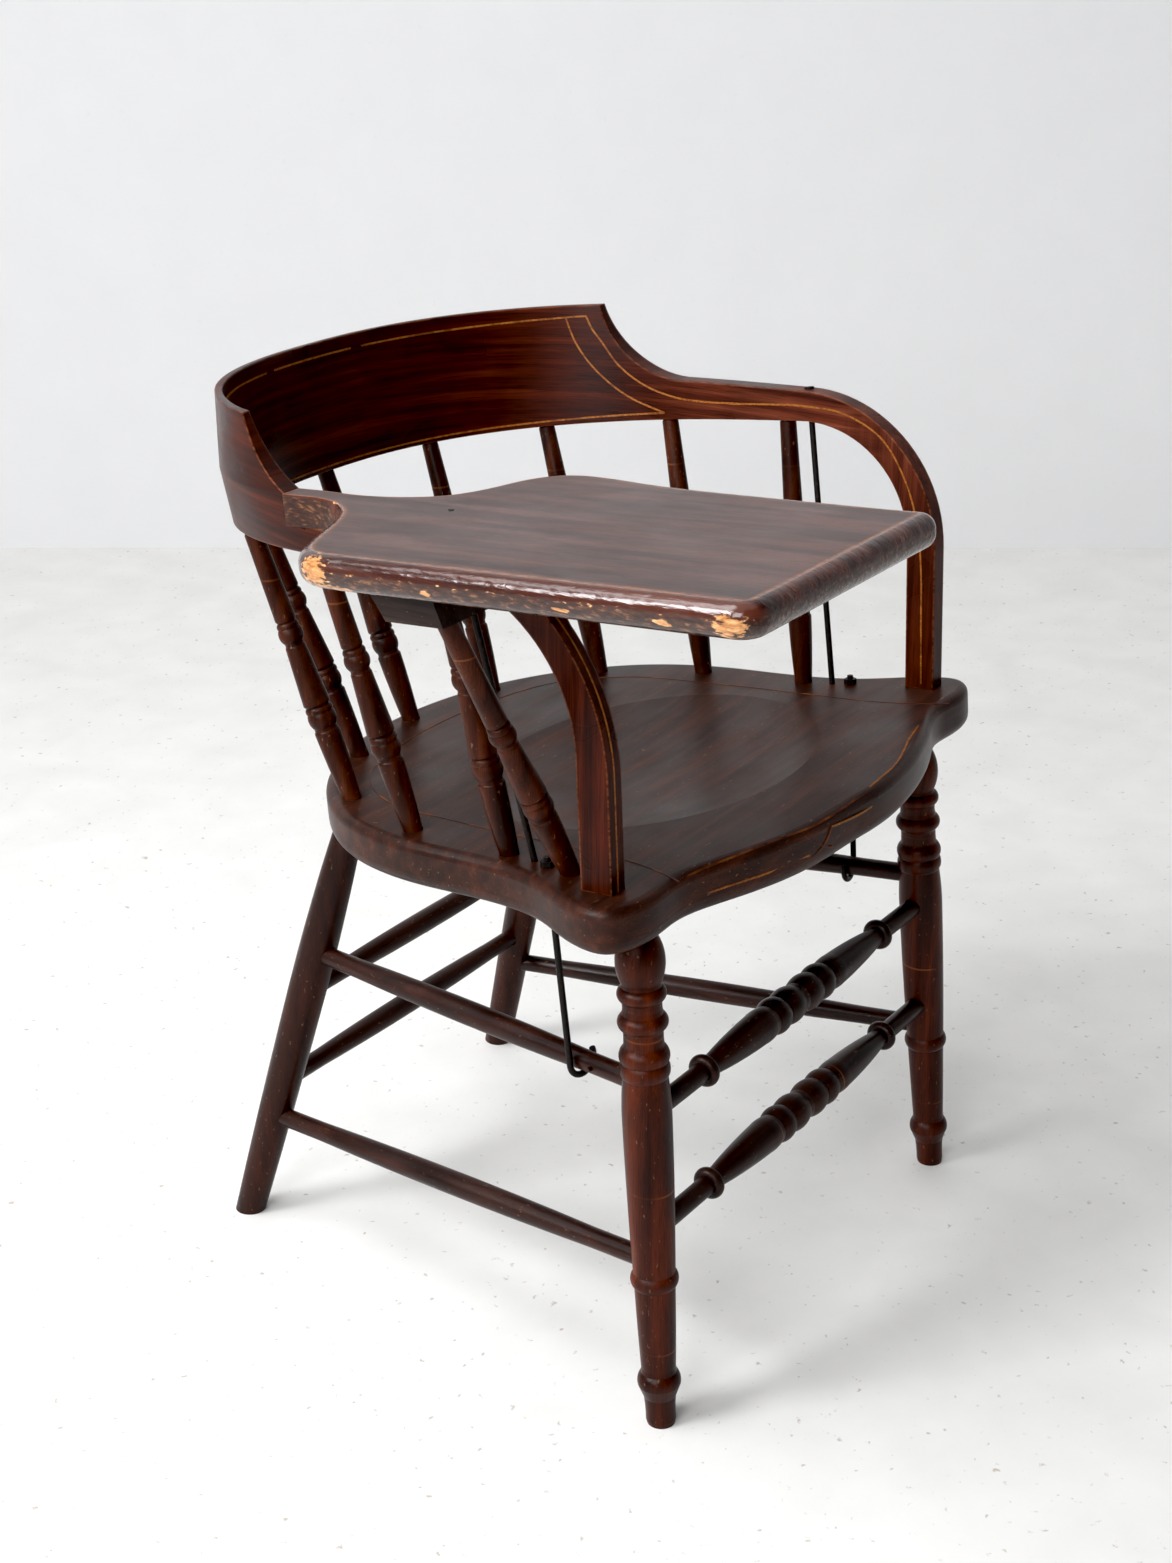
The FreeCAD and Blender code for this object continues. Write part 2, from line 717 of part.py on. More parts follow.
def cleat():
    """Block under the tablet with leaning ends, tapered up at its inner end."""
    top = -tablet_thickness
    low = top - cleat_height
    front, rear = -cleat_front, -cleat_rear
    corners = [side(front, top), side(rear, top)]
    corners += [side(rear - cleat_rear_lean, low), side(front - cleat_front_lean, low)]
    outline = [line(a, b) for a, b in zip(corners, corners[1:] + corners[:1])]
    block = extruded_x(outline, -cleat_outer, -cleat_inner)
    tip = Vec(-cleat_inner, rear + overrun, top - cleat_height / 3)
    heel = Vec(-cleat_inner - cleat_taper, tip.y, low)
    below = Vec(-cleat_inner, tip.y, low - cleat_height)
    end_face = Part.Face(Part.Wire([line(tip, heel), line(heel, below), line(below, tip)]))
    wedge = end_face.extrude(Vec(0, front - rear - 3 * overrun, 0))
    return tilt_to_tablet(block.cut(wedge))


def support_line():
    """Foot of the tablet's support on the seat and its head on the cleat's underside."""
    foot = Vec(-support_foot_apart, -support_foot_forward, seat_top(-support_foot_forward))
    low = tablet_top(-support_head_forward) - (tablet_thickness + cleat_height) * level_stretch
    return foot, Vec(-support_head_apart, -support_head_forward, low)


def support():
    """The tablet's support: a spindle cut off slanting under the cleat."""
    foot, head = support_line()
    low = -tablet_thickness - cleat_height
    corner = Vec(-support_head_apart - overrun, -support_head_forward - overrun, low)
    above = tilt_to_tablet(Part.makeBox(2 * overrun, 2 * overrun, 2 * overrun, corner))
    return fitted_spindle(foot, head, 0, above, support_tenon_depth)


# Ironwork

def tie_line(side_sign):
    """Foot of a tie rod on the seat and its way through the arm's underside."""
    foot = Vec(side_sign * tie_foot_apart, -tie_foot_forward, seat_top(-tie_foot_forward))
    return foot, Vec(side_sign * rail_half_width, -tie_head_forward, rail_bottom(-tie_head_forward))


def tie_top(side_sign):
    """Top of a tie rod's head: a little over the plain arm at the left, flush in the tablet at the right."""
    foot, head = tie_line(side_sign)
    if side_sign < 0:
        return meeting(foot, head, tablet_height, seat_fall_share)
    on_arm = meeting(foot, head, arm_top(0), arm_top(0) - arm_top(1))
    return on_arm + unit(head - foot) * left_head_proud


def under_seat(foot, head):
    return meeting(foot, head, seat_height - seat_thickness * level_stretch, seat_fall_share)


def tie_rod(side_sign):
    foot, head = tie_line(side_sign)
    along = unit(head - foot)
    top, low = tie_top(side_sign), under_seat(foot, head)
    shank = rod(low - along * (nut_height + rod_past_nut), top - along * (rod_head_height / 2), rod_radius)
    head_disc = rod(top - along * rod_head_height, top, rod_head_radius)
    rim = max(head_disc.Edges, key=lambda edge: edge.CenterOfMass * along)
    return shank.fuse(head_disc.makeFillet(rod_head_round, [rim])).removeSplitter()


def tie_hole(side_sign):
    """Cutter for the way of a tie rod and the bed of its head."""
    foot, head = tie_line(side_sign)
    along = unit(head - foot)
    top, low = tie_top(side_sign), under_seat(foot, head)
    above = top + along * overrun
    shank = rod(low - along * overrun, above, rod_radius + fit)
    return shank.fuse(rod(top - along * (rod_head_height + fit), above, rod_head_radius + fit))


def nut(place, along, radius):
    """Six-sided nut that stands on a place and faces along a direction, with the rod's way through it."""
    corners = []
    for turn in range(6):
        angle = math.radians(60 * turn)
        corners.append(Vec(radius * math.cos(angle), radius * math.sin(angle), 0))
    ring = Part.Face(Part.makePolygon(corners + corners[:1]))
    block = ring.extrude(Vec(0, 0, nut_height))
    block = block.cut(Part.makeCylinder(rod_radius + fit, nut_height))
    return aim(block, place, place + along)


def tie_nut(side_sign):
    foot, head = tie_line(side_sign)
    along = unit(foot - head)
    return nut(under_seat(foot, head) + along * nut_lift(along), along, nut_radius)


def nut_lift(along):
    """How far a nut on a slanting rod stands off the seat so that its lower corner just clears it."""
    face = unit(Vec(0, seat_fall_share, 1))
    lean = math.acos(min(1, abs(along * face)))
    return nut_radius * math.tan(lean) + fit


def hook_line(side_sign):
    """Top of a hook rod on the seat, middle of the stretcher that it holds, and the stretcher's direction."""
    foot = Vec(side_sign * hook_foot_apart, -hook_foot_forward, seat_top(-hook_foot_forward))
    rear = on_leg(False, side_sign, side_upper_rear_height)
    front = on_leg(True, side_sign, side_upper_front_height)
    return foot, between(rear, front, hook_stretcher_share), unit(front - rear)


def hook_start(side_sign):
    """Where a hook rod's straight part ends beside the stretcher, and the way out from the stretcher."""
    foot, middle, along = hook_line(side_sign)
    outward = unit(along.cross(up)) * -side_sign
    return middle + outward * (plain_stretcher_radius + rod_radius + fit), outward


def hook_rod(side_sign):
    """Straight rod that passes outside the stretcher and curls under it."""
    foot, middle, along = hook_line(side_sign)
    start, outward = hook_start(side_sign)
    rise = unit(foot - start)
    top = foot + rise * (nut_lift(rise) + nut_height + rod_past_nut)
    shank = rod(start, top, rod_radius)
    ring = Part.Face(Part.Wire(Part.makeCircle(rod_radius, start, along.cross(outward))))
    curl = ring.revolve(middle, along * -side_sign, hook_turn)
    return shank.fuse([curl, Part.makeSphere(rod_radius, start)]).removeSplitter()


def hook_hole(side_sign):
    foot = hook_line(side_sign)[0]
    start = hook_start(side_sign)[0]
    return rod(start, foot + unit(foot - start) * overrun, rod_radius + fit)


def hook_nut(side_sign):
    foot = hook_line(side_sign)[0]
    rise = unit(foot - hook_start(side_sign)[0])
    return nut(foot + rise * nut_lift(rise), rise, nut_radius)


def screw(across, forward, margin):
    """Screw up through the cleat into the tablet; with a margin it is the cutter for its hole."""
    low = -tablet_thickness - cleat_height
    head = Part.makeCone(screw_head_radius + margin, screw_radius + margin, screw_head_height)
    shank = Part.makeCylinder(screw_radius + margin, screw_length + margin)
    body = head.fuse(shank).removeSplitter()
    if margin == 0:
        slot = Part.makeBox(2 * screw_head_radius, screw_slot, screw_slot)
        slot.translate(Vec(-screw_head_radius, -screw_slot / 2, 0))
        body = body.cut(slot)
    body.translate(Vec(-across, -forward, low))
    return tilt_to_tablet(body)


def peg_line():
    """Outer end of the peg in the right upper side stretcher and the direction it runs in."""
    rear = on_leg(False, -1, side_upper_rear_height)
    front = on_leg(True, -1, side_upper_front_height)
    inwards = unit((front - rear).cross(up)) * -1
    return between(rear, front, peg_share) - inwards * (plain_stretcher_radius + peg_proud), inwards


def peg(margin):
    start, inwards = peg_line()
    return rod(start, start + inwards * (peg_length + margin), peg_radius + margin)


# Assembly

parts = {}


def side_name(side_sign):
    return "left" if side_sign > 0 else "right"


def stretcher_hole(axis_point, towards):
    """Blind hole from the other leg's side that ends a little past this leg's axis."""
    out = unit(towards - axis_point)
    bottom = axis_point - out * (stretcher_past_leg_axis + fit)
    return rod(bottom, axis_point + out * overrun, stretcher_end_radius + fit)


cross_heights = {
    "front_stretcher_upper": (True, front_upper_height),
    "front_stretcher_lower": (True, front_lower_height),
    "rear_stretcher_upper": (False, rear_upper_height),
    "rear_stretcher_lower": (False, rear_lower_height),
}
side_heights = {
    "side_stretcher_upper": (side_upper_front_height, side_upper_rear_height),
    "side_stretcher_lower": (side_lower_front_height, side_lower_rear_height),
}


def drilled_leg(front, side_sign):
    """A leg with the holes of its four stretchers."""
    holes = []
    for is_front, height in cross_heights.values():
        if is_front == front:
            holes.append(stretcher_hole(on_leg(front, side_sign, height), on_leg(front, -side_sign, height)))
    for front_height, rear_height in side_heights.values():
        here, there = on_leg(True, side_sign, front_height), on_leg(False, side_sign, rear_height)
        holes.append(stretcher_hole(here, there) if front else stretcher_hole(there, here))
    blank = front_leg(side_sign) if front else rear_leg(side_sign)
    return blank.cut(holes)


spindle_names = {("spindle_centre", len(spindle_foot_apart) - 1, 1)}
for side_sign in sides:
    for index in range(len(spindle_foot_apart) - 1):
        spindle_names.add(("spindle_%s_%d" % (side_name(side_sign), index + 1), index, side_sign))

blank_rail = rail()
seat_cutters = [tilt_to_seat(saddle())]
rail_cutters = []
tablet_cutters = [screw(*place, fit) for place in screw_places]
for name, index, side_sign in sorted(spindle_names):
    foot, head = spindle_line(index, side_sign)
    parts[name] = fitted_spindle(foot, head, spindle_shoulder_chamfer, blank_rail, spindle_tenon_depth)
    seat_cutters.append(foot_socket(foot, head))
    rail_cutters.append(head_socket(foot, head))

for side_sign in sides:
    where = side_name(side_sign)
    for front in (True, False):
        parts["%s_leg_%s" % ("front" if front else "rear", where)] = drilled_leg(front, side_sign)
        foot, top = leg_line(front, side_sign)
        mouth = leg_seat_mouth(front, side_sign)
        radius = front_leg_end_radius if front else rear_leg_end_radius
        seat_cutters.append(socket(mouth, mouth + unit(top - foot) * (leg_socket_depth + fit), radius))
    for name, (front_height, rear_height) in side_heights.items():
        start, end = on_leg(False, side_sign, rear_height), on_leg(True, side_sign, front_height)
        parts["%s_%s" % (name, where)] = plain_stretcher(start, end)
    seat_cutters.append(post_tenon(side_sign, fit))
    seat_cutters += [tie_hole(side_sign), hook_hole(side_sign)]
    rail_cutters.append(tie_hole(side_sign))
    parts["tie_rod_" + where] = tie_rod(side_sign)
    parts["hook_rod_" + where] = hook_rod(side_sign)

for name, (front, height) in cross_heights.items():
    ends = on_leg(front, -1, height), on_leg(front, 1, height)
    parts[name] = turned_stretcher(*ends) if front else plain_stretcher(*ends)

foot, head = support_line()
seat_cutters.append(foot_socket(foot, head))
parts["tablet_support_spindle"] = support()
deep = head + unit(head - foot) * (support_tenon_depth + fit)
cleat_cutters = [socket(head, deep, spindle_tenon_radius)] + tablet_cutters
parts["tablet_cleat"] = cleat().cut(cleat_cutters)
parts["writing_tablet"] = tablet().cut(tablet_cutters + [tie_hole(-1)])
parts["back_and_arm_rail"] = blank_rail.cut(rail_cutters)
parts["seat"] = tilt_to_seat(seat_blank()).cut(seat_cutters)
parts["side_stretcher_upper_right"] = parts["side_stretcher_upper_right"].cut(peg(fit))
parts["stretcher_peg"] = peg(0)
parts["tie_rod_nuts"] = Part.makeCompound([tie_nut(side_sign) for side_sign in sides])
parts["hook_rod_nuts"] = Part.makeCompound([hook_nut(side_sign) for side_sign in sides])
parts["cleat_screws"] = Part.makeCompound([screw(*place, 0) for place in screw_places])

# The chair moves so that the box round it stands on the floor with its middle over the origin
points = []
for shape in parts.values():
    points += shape.tessellate(fit)[0]
middle_x = (min(p.x for p in points) + max(p.x for p in points)) / 2
middle_y = (min(p.y for p in points) + max(p.y for p in points)) / 2
for name, shape in parts.items():
    shape = shape.Solids[0] if len(shape.Solids) == 1 else Part.makeCompound(shape.Solids)
    shape.translate(Vec(-middle_x, -middle_y, 0))
    shape.exportStep("parts/%s.step" % name)
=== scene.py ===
# %% [markdown]
# This lesson dresses a Windsor armchair with a writing tablet. The solids come from a CAD model, and every
# turned leg, spindle and stretcher already has its real shape there. So Blender's work is the finish: old
# dark stain over hardwood, ochre striping paint, black iron rods, and the worn nose of the tablet.

import math

import bpy
import numpy as np
from mathutils import Matrix, Vector


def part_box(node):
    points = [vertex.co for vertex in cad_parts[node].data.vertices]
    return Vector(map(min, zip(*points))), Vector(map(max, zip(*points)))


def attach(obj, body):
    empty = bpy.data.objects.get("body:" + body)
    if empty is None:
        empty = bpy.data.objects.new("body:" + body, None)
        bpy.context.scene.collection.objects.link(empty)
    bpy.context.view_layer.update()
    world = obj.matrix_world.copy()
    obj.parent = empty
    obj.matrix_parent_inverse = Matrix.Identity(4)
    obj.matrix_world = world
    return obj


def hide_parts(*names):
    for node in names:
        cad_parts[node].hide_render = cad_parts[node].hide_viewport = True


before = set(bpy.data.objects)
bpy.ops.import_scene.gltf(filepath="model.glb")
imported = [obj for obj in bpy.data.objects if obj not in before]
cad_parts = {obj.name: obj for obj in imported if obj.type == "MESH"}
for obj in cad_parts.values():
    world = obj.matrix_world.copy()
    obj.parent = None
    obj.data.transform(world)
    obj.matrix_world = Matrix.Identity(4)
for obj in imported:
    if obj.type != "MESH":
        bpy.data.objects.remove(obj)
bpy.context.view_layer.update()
print("pieces of the chair:", len(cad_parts))

# %% [markdown]
# The chair was measured in millimetres about the point on the floor under the middle of its seat, while
# the CAD frame has its origin under the middle of the whole box. One shift joins the two, and the middle
# back spindle, which stands on the seat's middle line, shows whether it is right.

# %% Measure from the middle of the seat
mm = 0.001
seat_middle = np.array([51.248, 46.272, 0.0])


def placed(points):
    """Millimetres about the seat's middle, moved to the frame and scaled to metres."""
    return (np.asarray(points, float) + seat_middle) * mm


low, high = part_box("spindle_centre")
print("middle spindle is off by", round(((low.x + high.x) / 2 / mm - seat_middle[0]), 3), "mm")

# %% [markdown]
# Colours are picked as the hex values that a screen shows, so one function undoes the screen's curve.
# A second one adds a shader node with its settings and inputs, and every finish below is built with it.
# Inputs 1 to 4 of a Map Range are the two values it reads between and the two values it gives for them.

# %% Helpers for the finishes


def linear(code):
    """Screen value c becomes c / 12.92 near black and ((c + 0.055) / 1.055) to the power 2.4 above it."""
    c = np.array([int(code[i : i + 2], 16) for i in (1, 3, 5)]) / 255
    c = np.where(c < 0.04045, c / 12.92, ((c + 0.055) / 1.055) ** 2.4)
    return (*c.tolist(), 1.0)


def add(tree, kind, inputs=(), **settings):
    """New shader node with its settings. Of its inputs, a node or an output is linked, and a value or a hex
    colour goes on the socket itself."""
    node = tree.nodes.new("ShaderNode" + kind)
    for name, value in settings.items():
        setattr(node, name, value)
    for socket, value in dict(inputs).items():
        if isinstance(value, bpy.types.Node):
            value = value.outputs[0]
        if isinstance(value, bpy.types.NodeSocket):
            tree.links.new(value, node.inputs[socket])
        else:
            node.inputs[socket].default_value = linear(value) if isinstance(value, str) else value
    return node


def shades(tree, value, *stops):
    """Colour ramp from pairs of place and hex colour or grey value."""
    ramp = add(tree, "ValToRGB", {0: value})
    marks = ramp.color_ramp.elements
    while len(marks) < len(stops):
        marks.new(0.5)
    for mark, (place, colour) in zip(marks, stops):
        mark.position = place
        mark.color = linear(colour) if isinstance(colour, str) else (colour, colour, colour, 1)
    return ramp


def new_finish(name):
    """Empty material and its node tree."""
    finish = bpy.data.materials.new(name)
    finish.use_nodes = True
    tree = finish.node_tree
    tree.nodes.clear()
    return finish, tree


# %% [markdown]
# Stained hardwood, wiped and oiled for a century, is a dark red-brown under a thin worn varnish. Its eye
# catches three things: long soft bands of the figure, fine dark pores along the grain, and a cloudy
# unevenness of the stain. Each is one noise, stretched along the grain by a Mapping node that turns
# millimetres into noise cells.

# %% Stained wood


def grain(tree, across_mm, along_mm, axis, detail):
    """Noise whose cells are across_mm wide and along_mm long, on the piece's own coordinates. The axis says
    which way is along; 'xy' is along every level way, as in a bent board."""
    cells = [1000 / (along_mm if way in axis else across_mm) for way in "xyz"]
    place = add(tree, "TexCoord").outputs["Object"]
    mapped = add(tree, "Mapping", {"Vector": place, "Scale": cells})
    noise = add(tree, "TexNoise", {"Vector": mapped, "Scale": 1.0, "Detail": detail, "Distortion": 0.3})
    return noise.outputs["Fac"]


def blend(tree, share, low, high, kind="MIX"):
    """Mix of two colours by a share between 0 and 1."""
    return add(tree, "Mix", {0: share, 6: low, 7: high}, data_type="RGBA", blend_type=kind).outputs[2]


def worn_edges(tree, colour, tone, reach_mm, fray, strength):
    """Paler wood where a hand has rubbed the edges. The bevel node turns the normal only near an edge, so the
    wear is 1 minus the cosine of that turn, broken up by a noise."""
    rounded = add(tree, "Bevel", {"Radius": reach_mm * mm}, samples=6)
    flat = add(tree, "NewGeometry").outputs["Normal"]
    turn = add(tree, "VectorMath", {0: rounded, 1: flat}, operation="DOT_PRODUCT").outputs["Value"]
    edge = add(tree, "MapRange", {0: turn, 1: 0.985, 2: 0.8})
    broken = add(tree, "MapRange", {0: fray, 1: 0.38, 2: 0.6, 3: 0.1, 4: strength})
    share = add(tree, "Math", {0: edge, 1: broken}, operation="MULTIPLY")
    return blend(tree, share, colour, tone), rounded


def varnish(tree, colour, gloss_low, gloss_high, cloud, relief, relief_mm, shine=0.15, rounded=None):
    """Worn varnish over a wood colour: gloss follows the cloud, and the pores make the relief."""
    gloss = add(tree, "MapRange", {0: cloud, 1: 0.35, 2: 0.65, 3: gloss_low, 4: gloss_high})
    under = {"Normal": rounded} if rounded else {}
    bump = add(tree, "Bump", {"Height": relief, **under, "Strength": 0.5, "Distance": relief_mm * mm})
    shader = add(tree, "BsdfPrincipled", {
        "Base Color": colour, "Roughness": gloss, "Normal": bump, "IOR": 1.5, "Specular IOR Level": shine,
    })
    add(tree, "OutputMaterial", {0: shader})


def height_over(tree, slopes, lift_mm):
    """Sum of x, y and z of the piece's own place, each times its slope, less the lift, in metres."""
    place = add(tree, "TexCoord").outputs["Object"]
    total = add(tree, "VectorMath", {0: place, 1: slopes}, operation="DOT_PRODUCT").outputs["Value"]
    return add(tree, "Math", {0: total, 1: lift_mm * mm}, operation="SUBTRACT")


def ringed(tree, colour, way, places_mm, half_mm, fade):
    """Thin painted rings: 1 where the way is within half_mm of a place, worn away by the fade."""
    rings = None
    for place in places_mm:
        ring = add(tree, "Math", {0: way, 1: place * mm, 2: half_mm * mm}, operation="COMPARE")
        rings = ring if rings is None else add(tree, "Math", {0: rings, 1: ring}, operation="MAXIMUM")
    left = add(tree, "MapRange", {0: fade, 1: 0.45, 2: 0.6, 3: 0.04, 4: 0.4})
    share = add(tree, "Math", {0: rings, 1: left}, operation="MULTIPLY")
    return blend(tree, share, colour, "#94552a")


def painted_groove_shade(tree, colour, reach_mm, depth):
    """Painted shade: the colour is darkened in the grooves, where little open air is left within reach."""
    open_air = add(tree, "AmbientOcclusion", {"Distance": reach_mm * mm}, samples=6, only_local=True)
    shade_ramp = shades(tree, open_air.outputs["AO"], (0.45, depth), (0.95, 1.0))
    return blend(tree, 1.0, colour, shade_ramp, "MULTIPLY")


def stained_wood(name, dark, body, warm, axis, gloss=(0.3, 0.44), shine=0.2, rings=None):
    """Hardwood, stained and varnished long ago: dark red-brown with a soft sheen, streaked along the axis,
    with painted shade in its grooves, pale where scuffed. Painted rings are given as slopes, lift and places."""
    finish, tree = new_finish(name)
    figure = grain(tree, 11.0, 190.0, axis, 3.0)
    pores = grain(tree, 0.9, 26.0, axis, 2.0)
    cloud = grain(tree, 55.0, 90.0, axis, 2.0)
    wood = shades(tree, figure, (0.3, dark), (0.5, body), (0.72, warm))
    wood = blend(tree, 1.0, wood, shades(tree, pores, (0.34, 0.6), (0.52, 1.0)), "MULTIPLY")
    wood = blend(tree, 1.0, wood, shades(tree, cloud, (0.32, 0.68), (0.62, 1.1)), "MULTIPLY")
    specks = grain(tree, 2.6, 6.0, axis, 4.0)
    worn = shades(tree, specks, (0.66, 0.0), (0.73, 0.55))
    wood = blend(tree, worn, wood, "#7a5a42")
    # Painted shade: the colour darkens in the grooves, where little open air is left
    wood = painted_groove_shade(tree, wood, 9.0, 0.35)
    if rings:
        slopes, lift, places = rings
        way = height_over(tree, slopes, lift)
        if axis == "x":
            # On a cross stretcher the places are counted both ways from its middle
            way = add(tree, "Math", {0: way}, operation="ABSOLUTE")
        wood = ringed(tree, wood, way, places, ring_half, cloud)
    varnish(tree, wood, *gloss, cloud, pores, 0.12, shine)
    return finish


# Painted rings: heights over the floor on the legs, places from the middle on the stretchers. On the spindles
# they follow the rail's underside, 40 mm below it, and so fall to the back as it does
ring_half, leg_rings, stretcher_ring = 0.8, (68.0, 208.0, 335.0), 52.0
rail_height, rail_fall = 675.6, 0.1213
spindle_ring = rail_height - 40.0

leg_wood = stained_wood(
    "stained_leg_wood", "#260e08", "#3e180c", "#5a2511", "z", shine=0.14,
    rings=((0, 0, 1), 0.0, leg_rings),
)
rear_leg_wood = stained_wood("stained_rear_leg_wood", "#1f0d09", "#2d130b", "#3e1c10", "z", shine=0.16)
spindle_wood = stained_wood(
    "stained_spindle_wood", "#220e08", "#38180d", "#4e2412", "z", shine=0.13,
    rings=((0, rail_fall, 1), rail_fall * seat_middle[1], (spindle_ring,)),
)
stretcher_wood_x = stained_wood(
    "stained_cross_stretcher_wood", "#170a08", "#23100b", "#32180f", "x",
    rings=((1, 0, 0), seat_middle[0], (stretcher_ring,)),
)
rear_stretcher_wood = stained_wood("stained_rear_stretcher_wood", "#1a0c09", "#2a140e", "#3a1d14", "x")
stretcher_wood_y = stained_wood("stained_side_stretcher_wood", "#1c0e0a", "#2d1610", "#3e2119", "y")
seat_wood = stained_wood("stained_seat_wood", "#25120d", "#341a11", "#482518", "x", (0.34, 0.46))
cleat_wood = stained_wood("stained_cleat_wood", "#1b1311", "#2c211e", "#3a2d28", "y")
print("wood finishes:", len(bpy.data.materials))

# %% [markdown]
# The back, both arms and both front posts are one board, steamed and bent. Its grain runs level round the
# crest and the arms and then turns down the posts, so the finish holds two grains and changes from one to
# the other over the bends.

# %% Bent rail wood


def bent_wood():
    """Steamed and bent hardwood under stain and varnish: fine long streaks that bend with the board, a darker
    crest, arms and outer edges that hands have rubbed paler, and painted shade on the tablet's side."""
    finish, tree = new_finish("stained_bent_wood")
    place = add(tree, "TexCoord").outputs["Object"]
    parts = add(tree, "SeparateXYZ", {0: place})
    bend_y = placed((0, -95, 0))[1]
    post_y = placed((0, -150, 0))[1]
    turned_down = add(tree, "MapRange", {0: parts.outputs[1], 1: bend_y, 2: post_y})
    tones = []
    for axis in ("xy", "z"):
        figure = grain(tree, 7.0, 230.0, axis, 4.0)
        pores = grain(tree, 0.8, 30.0, axis, 2.0)
        wood = shades(tree, figure, (0.3, "#280d06"), (0.5, "#3c1409"), (0.72, "#54200e"))
        pale = shades(tree, figure, (0.3, "#431a0f"), (0.5, "#68301f"), (0.7, "#864a34"))
        dust = shades(tree, pores, (0.34, 0.5), (0.52, 1.0))
        wood, pale = (blend(tree, 1.0, tone, dust, "MULTIPLY") for tone in (wood, pale))
        tones.append((wood, pale, pores))
    wood = blend(tree, turned_down, tones[0][0], tones[1][0])
    pale = blend(tree, turned_down, tones[0][1], tones[1][1])
    cloud = grain(tree, 50.0, 70.0, "xy", 2.0)
    wood = blend(tree, 1.0, wood, shades(tree, cloud, (0.34, 0.6), (0.62, 1.0)), "MULTIPLY")
    # Hands have rubbed the arms paler and redder than the crest
    arm_back, arm_start = placed((0, 130, 0))[1], placed((0, 30, 0))[1]
    wear_and_shade = add(tree, "MapRange", {0: parts.outputs[1], 1: arm_back, 2: arm_start, 4: 1.0})
    # Less on the posts, under the height of the arms, in metres. On the tablet's side, which lies in the
    # tablet's shadow, only 0.3 of the paler tone is kept: a painted shade that darkens the near arm and post
    on_arm = add(tree, "MapRange", {0: parts.outputs[2], 1: 0.62, 2: 0.68, 3: 0.2, 4: 1.0})
    painted_side_shade = add(tree, "MapRange", {0: parts, 1: -0.1, 2: 0.1, 3: 0.3, 4: 1.0})
    for share in (on_arm, painted_side_shade, cloud):
        wear_and_shade = add(tree, "Math", {0: wear_and_shade, 1: share}, operation="MULTIPLY")
    wood = blend(tree, wear_and_shade, wood, pale)
    fray = grain(tree, 3.0, 14.0, "xy", 4.0)
    wood, rounded = worn_edges(tree, wood, "#9a5a38", 3.0, fray, 0.8)
    varnish(tree, wood, 0.26, 0.38, cloud, tones[0][2], 0.1, 0.11, rounded)
    return finish


rail_wood = bent_wood()

# %% [markdown]
# The rods, nuts and screws are forged and drawn iron, japanned black long ago and now brown at the edges.
# The paint is what the eye meets, so it is a dark non-metal with a dull gloss and rusty spots.

# %% Black iron


def japanned_iron():
    """Black baked varnish over iron: nearly black, dull, with small rusty spots."""
    finish, tree = new_finish("japanned_iron")
    spots = grain(tree, 3.0, 3.0, "", 4.0)
    colour = shades(tree, spots, (0.45, "#120f0f"), (0.62, "#1d1614"), (0.75, "#3a2218"))
    varnish(tree, colour, 0.4, 0.6, spots, spots, 0.08)
    return finish


iron = japanned_iron()

# %% [markdown]
# A chair is stained all at once, but each kind of piece ages in its own way: the front legs and spindles are
# warm, the rear legs and the stretchers darker, and the cleat under the tablet is greyer. So a piece gets its
# finish by the start of its name, and what is left is iron.

# %% Give each piece its finish
wooden = (
    ("front_leg", leg_wood),
    ("rear_leg", rear_leg_wood),
    ("spindle", spindle_wood),
    ("tablet_support", spindle_wood),
    ("front_stretcher", stretcher_wood_x),
    ("rear_stretcher", rear_stretcher_wood),
    ("side_stretcher", stretcher_wood_y),
    ("stretcher_peg", stretcher_wood_y),
    ("seat", seat_wood),
    ("tablet_cleat", cleat_wood),
    ("back_and_arm_rail", rail_wood),
)


def finish_of(node):
    """The first wooden finish whose start fits the node's name, or else the iron's."""
    return next((finish for start, finish in wooden if node.startswith(start)), iron)


for node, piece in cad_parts.items():
    piece.data.materials.clear()
    piece.data.materials.append(finish_of(node))
print("dressed:", len(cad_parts))

# %% [markdown]
# Every new surface is a grid of points, n rows of m points each. One function joins neighbouring points by
# quads, closes the grid round each row, and closes its two ends with one face each.

# %% Make a mesh from a grid


def skin(name, grid, finish, smooth=True):
    """Quads between rows i, i + 1 and columns j, j + 1, with column m the same as column 0, and one face on
    each end."""
    n, m = grid.shape[:2]
    index = np.arange(n * m).reshape(n, m)
    a, b = index[:-1], index[1:]
    quads = np.stack([a, np.roll(a, -1, 1), np.roll(b, -1, 1), b], -1).reshape(-1, 4)
    faces = quads.tolist() + [index[0, ::-1].tolist(), index[-1].tolist()]
    mesh = bpy.data.meshes.new(name)
    mesh.from_pydata(grid.reshape(-1, 3).tolist(), [], faces)
    mesh.polygons.foreach_set("use_smooth", [smooth] * len(faces))
    mesh.materials.append(finish)
    mesh.update()
    piece = bpy.data.objects.new(name, mesh)
    bpy.context.scene.collection.objects.link(piece)
    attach(piece, "root")
    return piece


def unit(v):
    """Each vector divided by its own length."""
    return v / np.linalg.norm(v, axis=-1, keepdims=True)


# %% [markdown]
# The tablet is a thick board with a full round nose, let into the right arm by a narrow neck. Its outline
# is a chain of smooth curves, straight runs and two rounded corners. A cubic spline through a few measured
# points gives each curve, the same way as a draughtsman's batten.

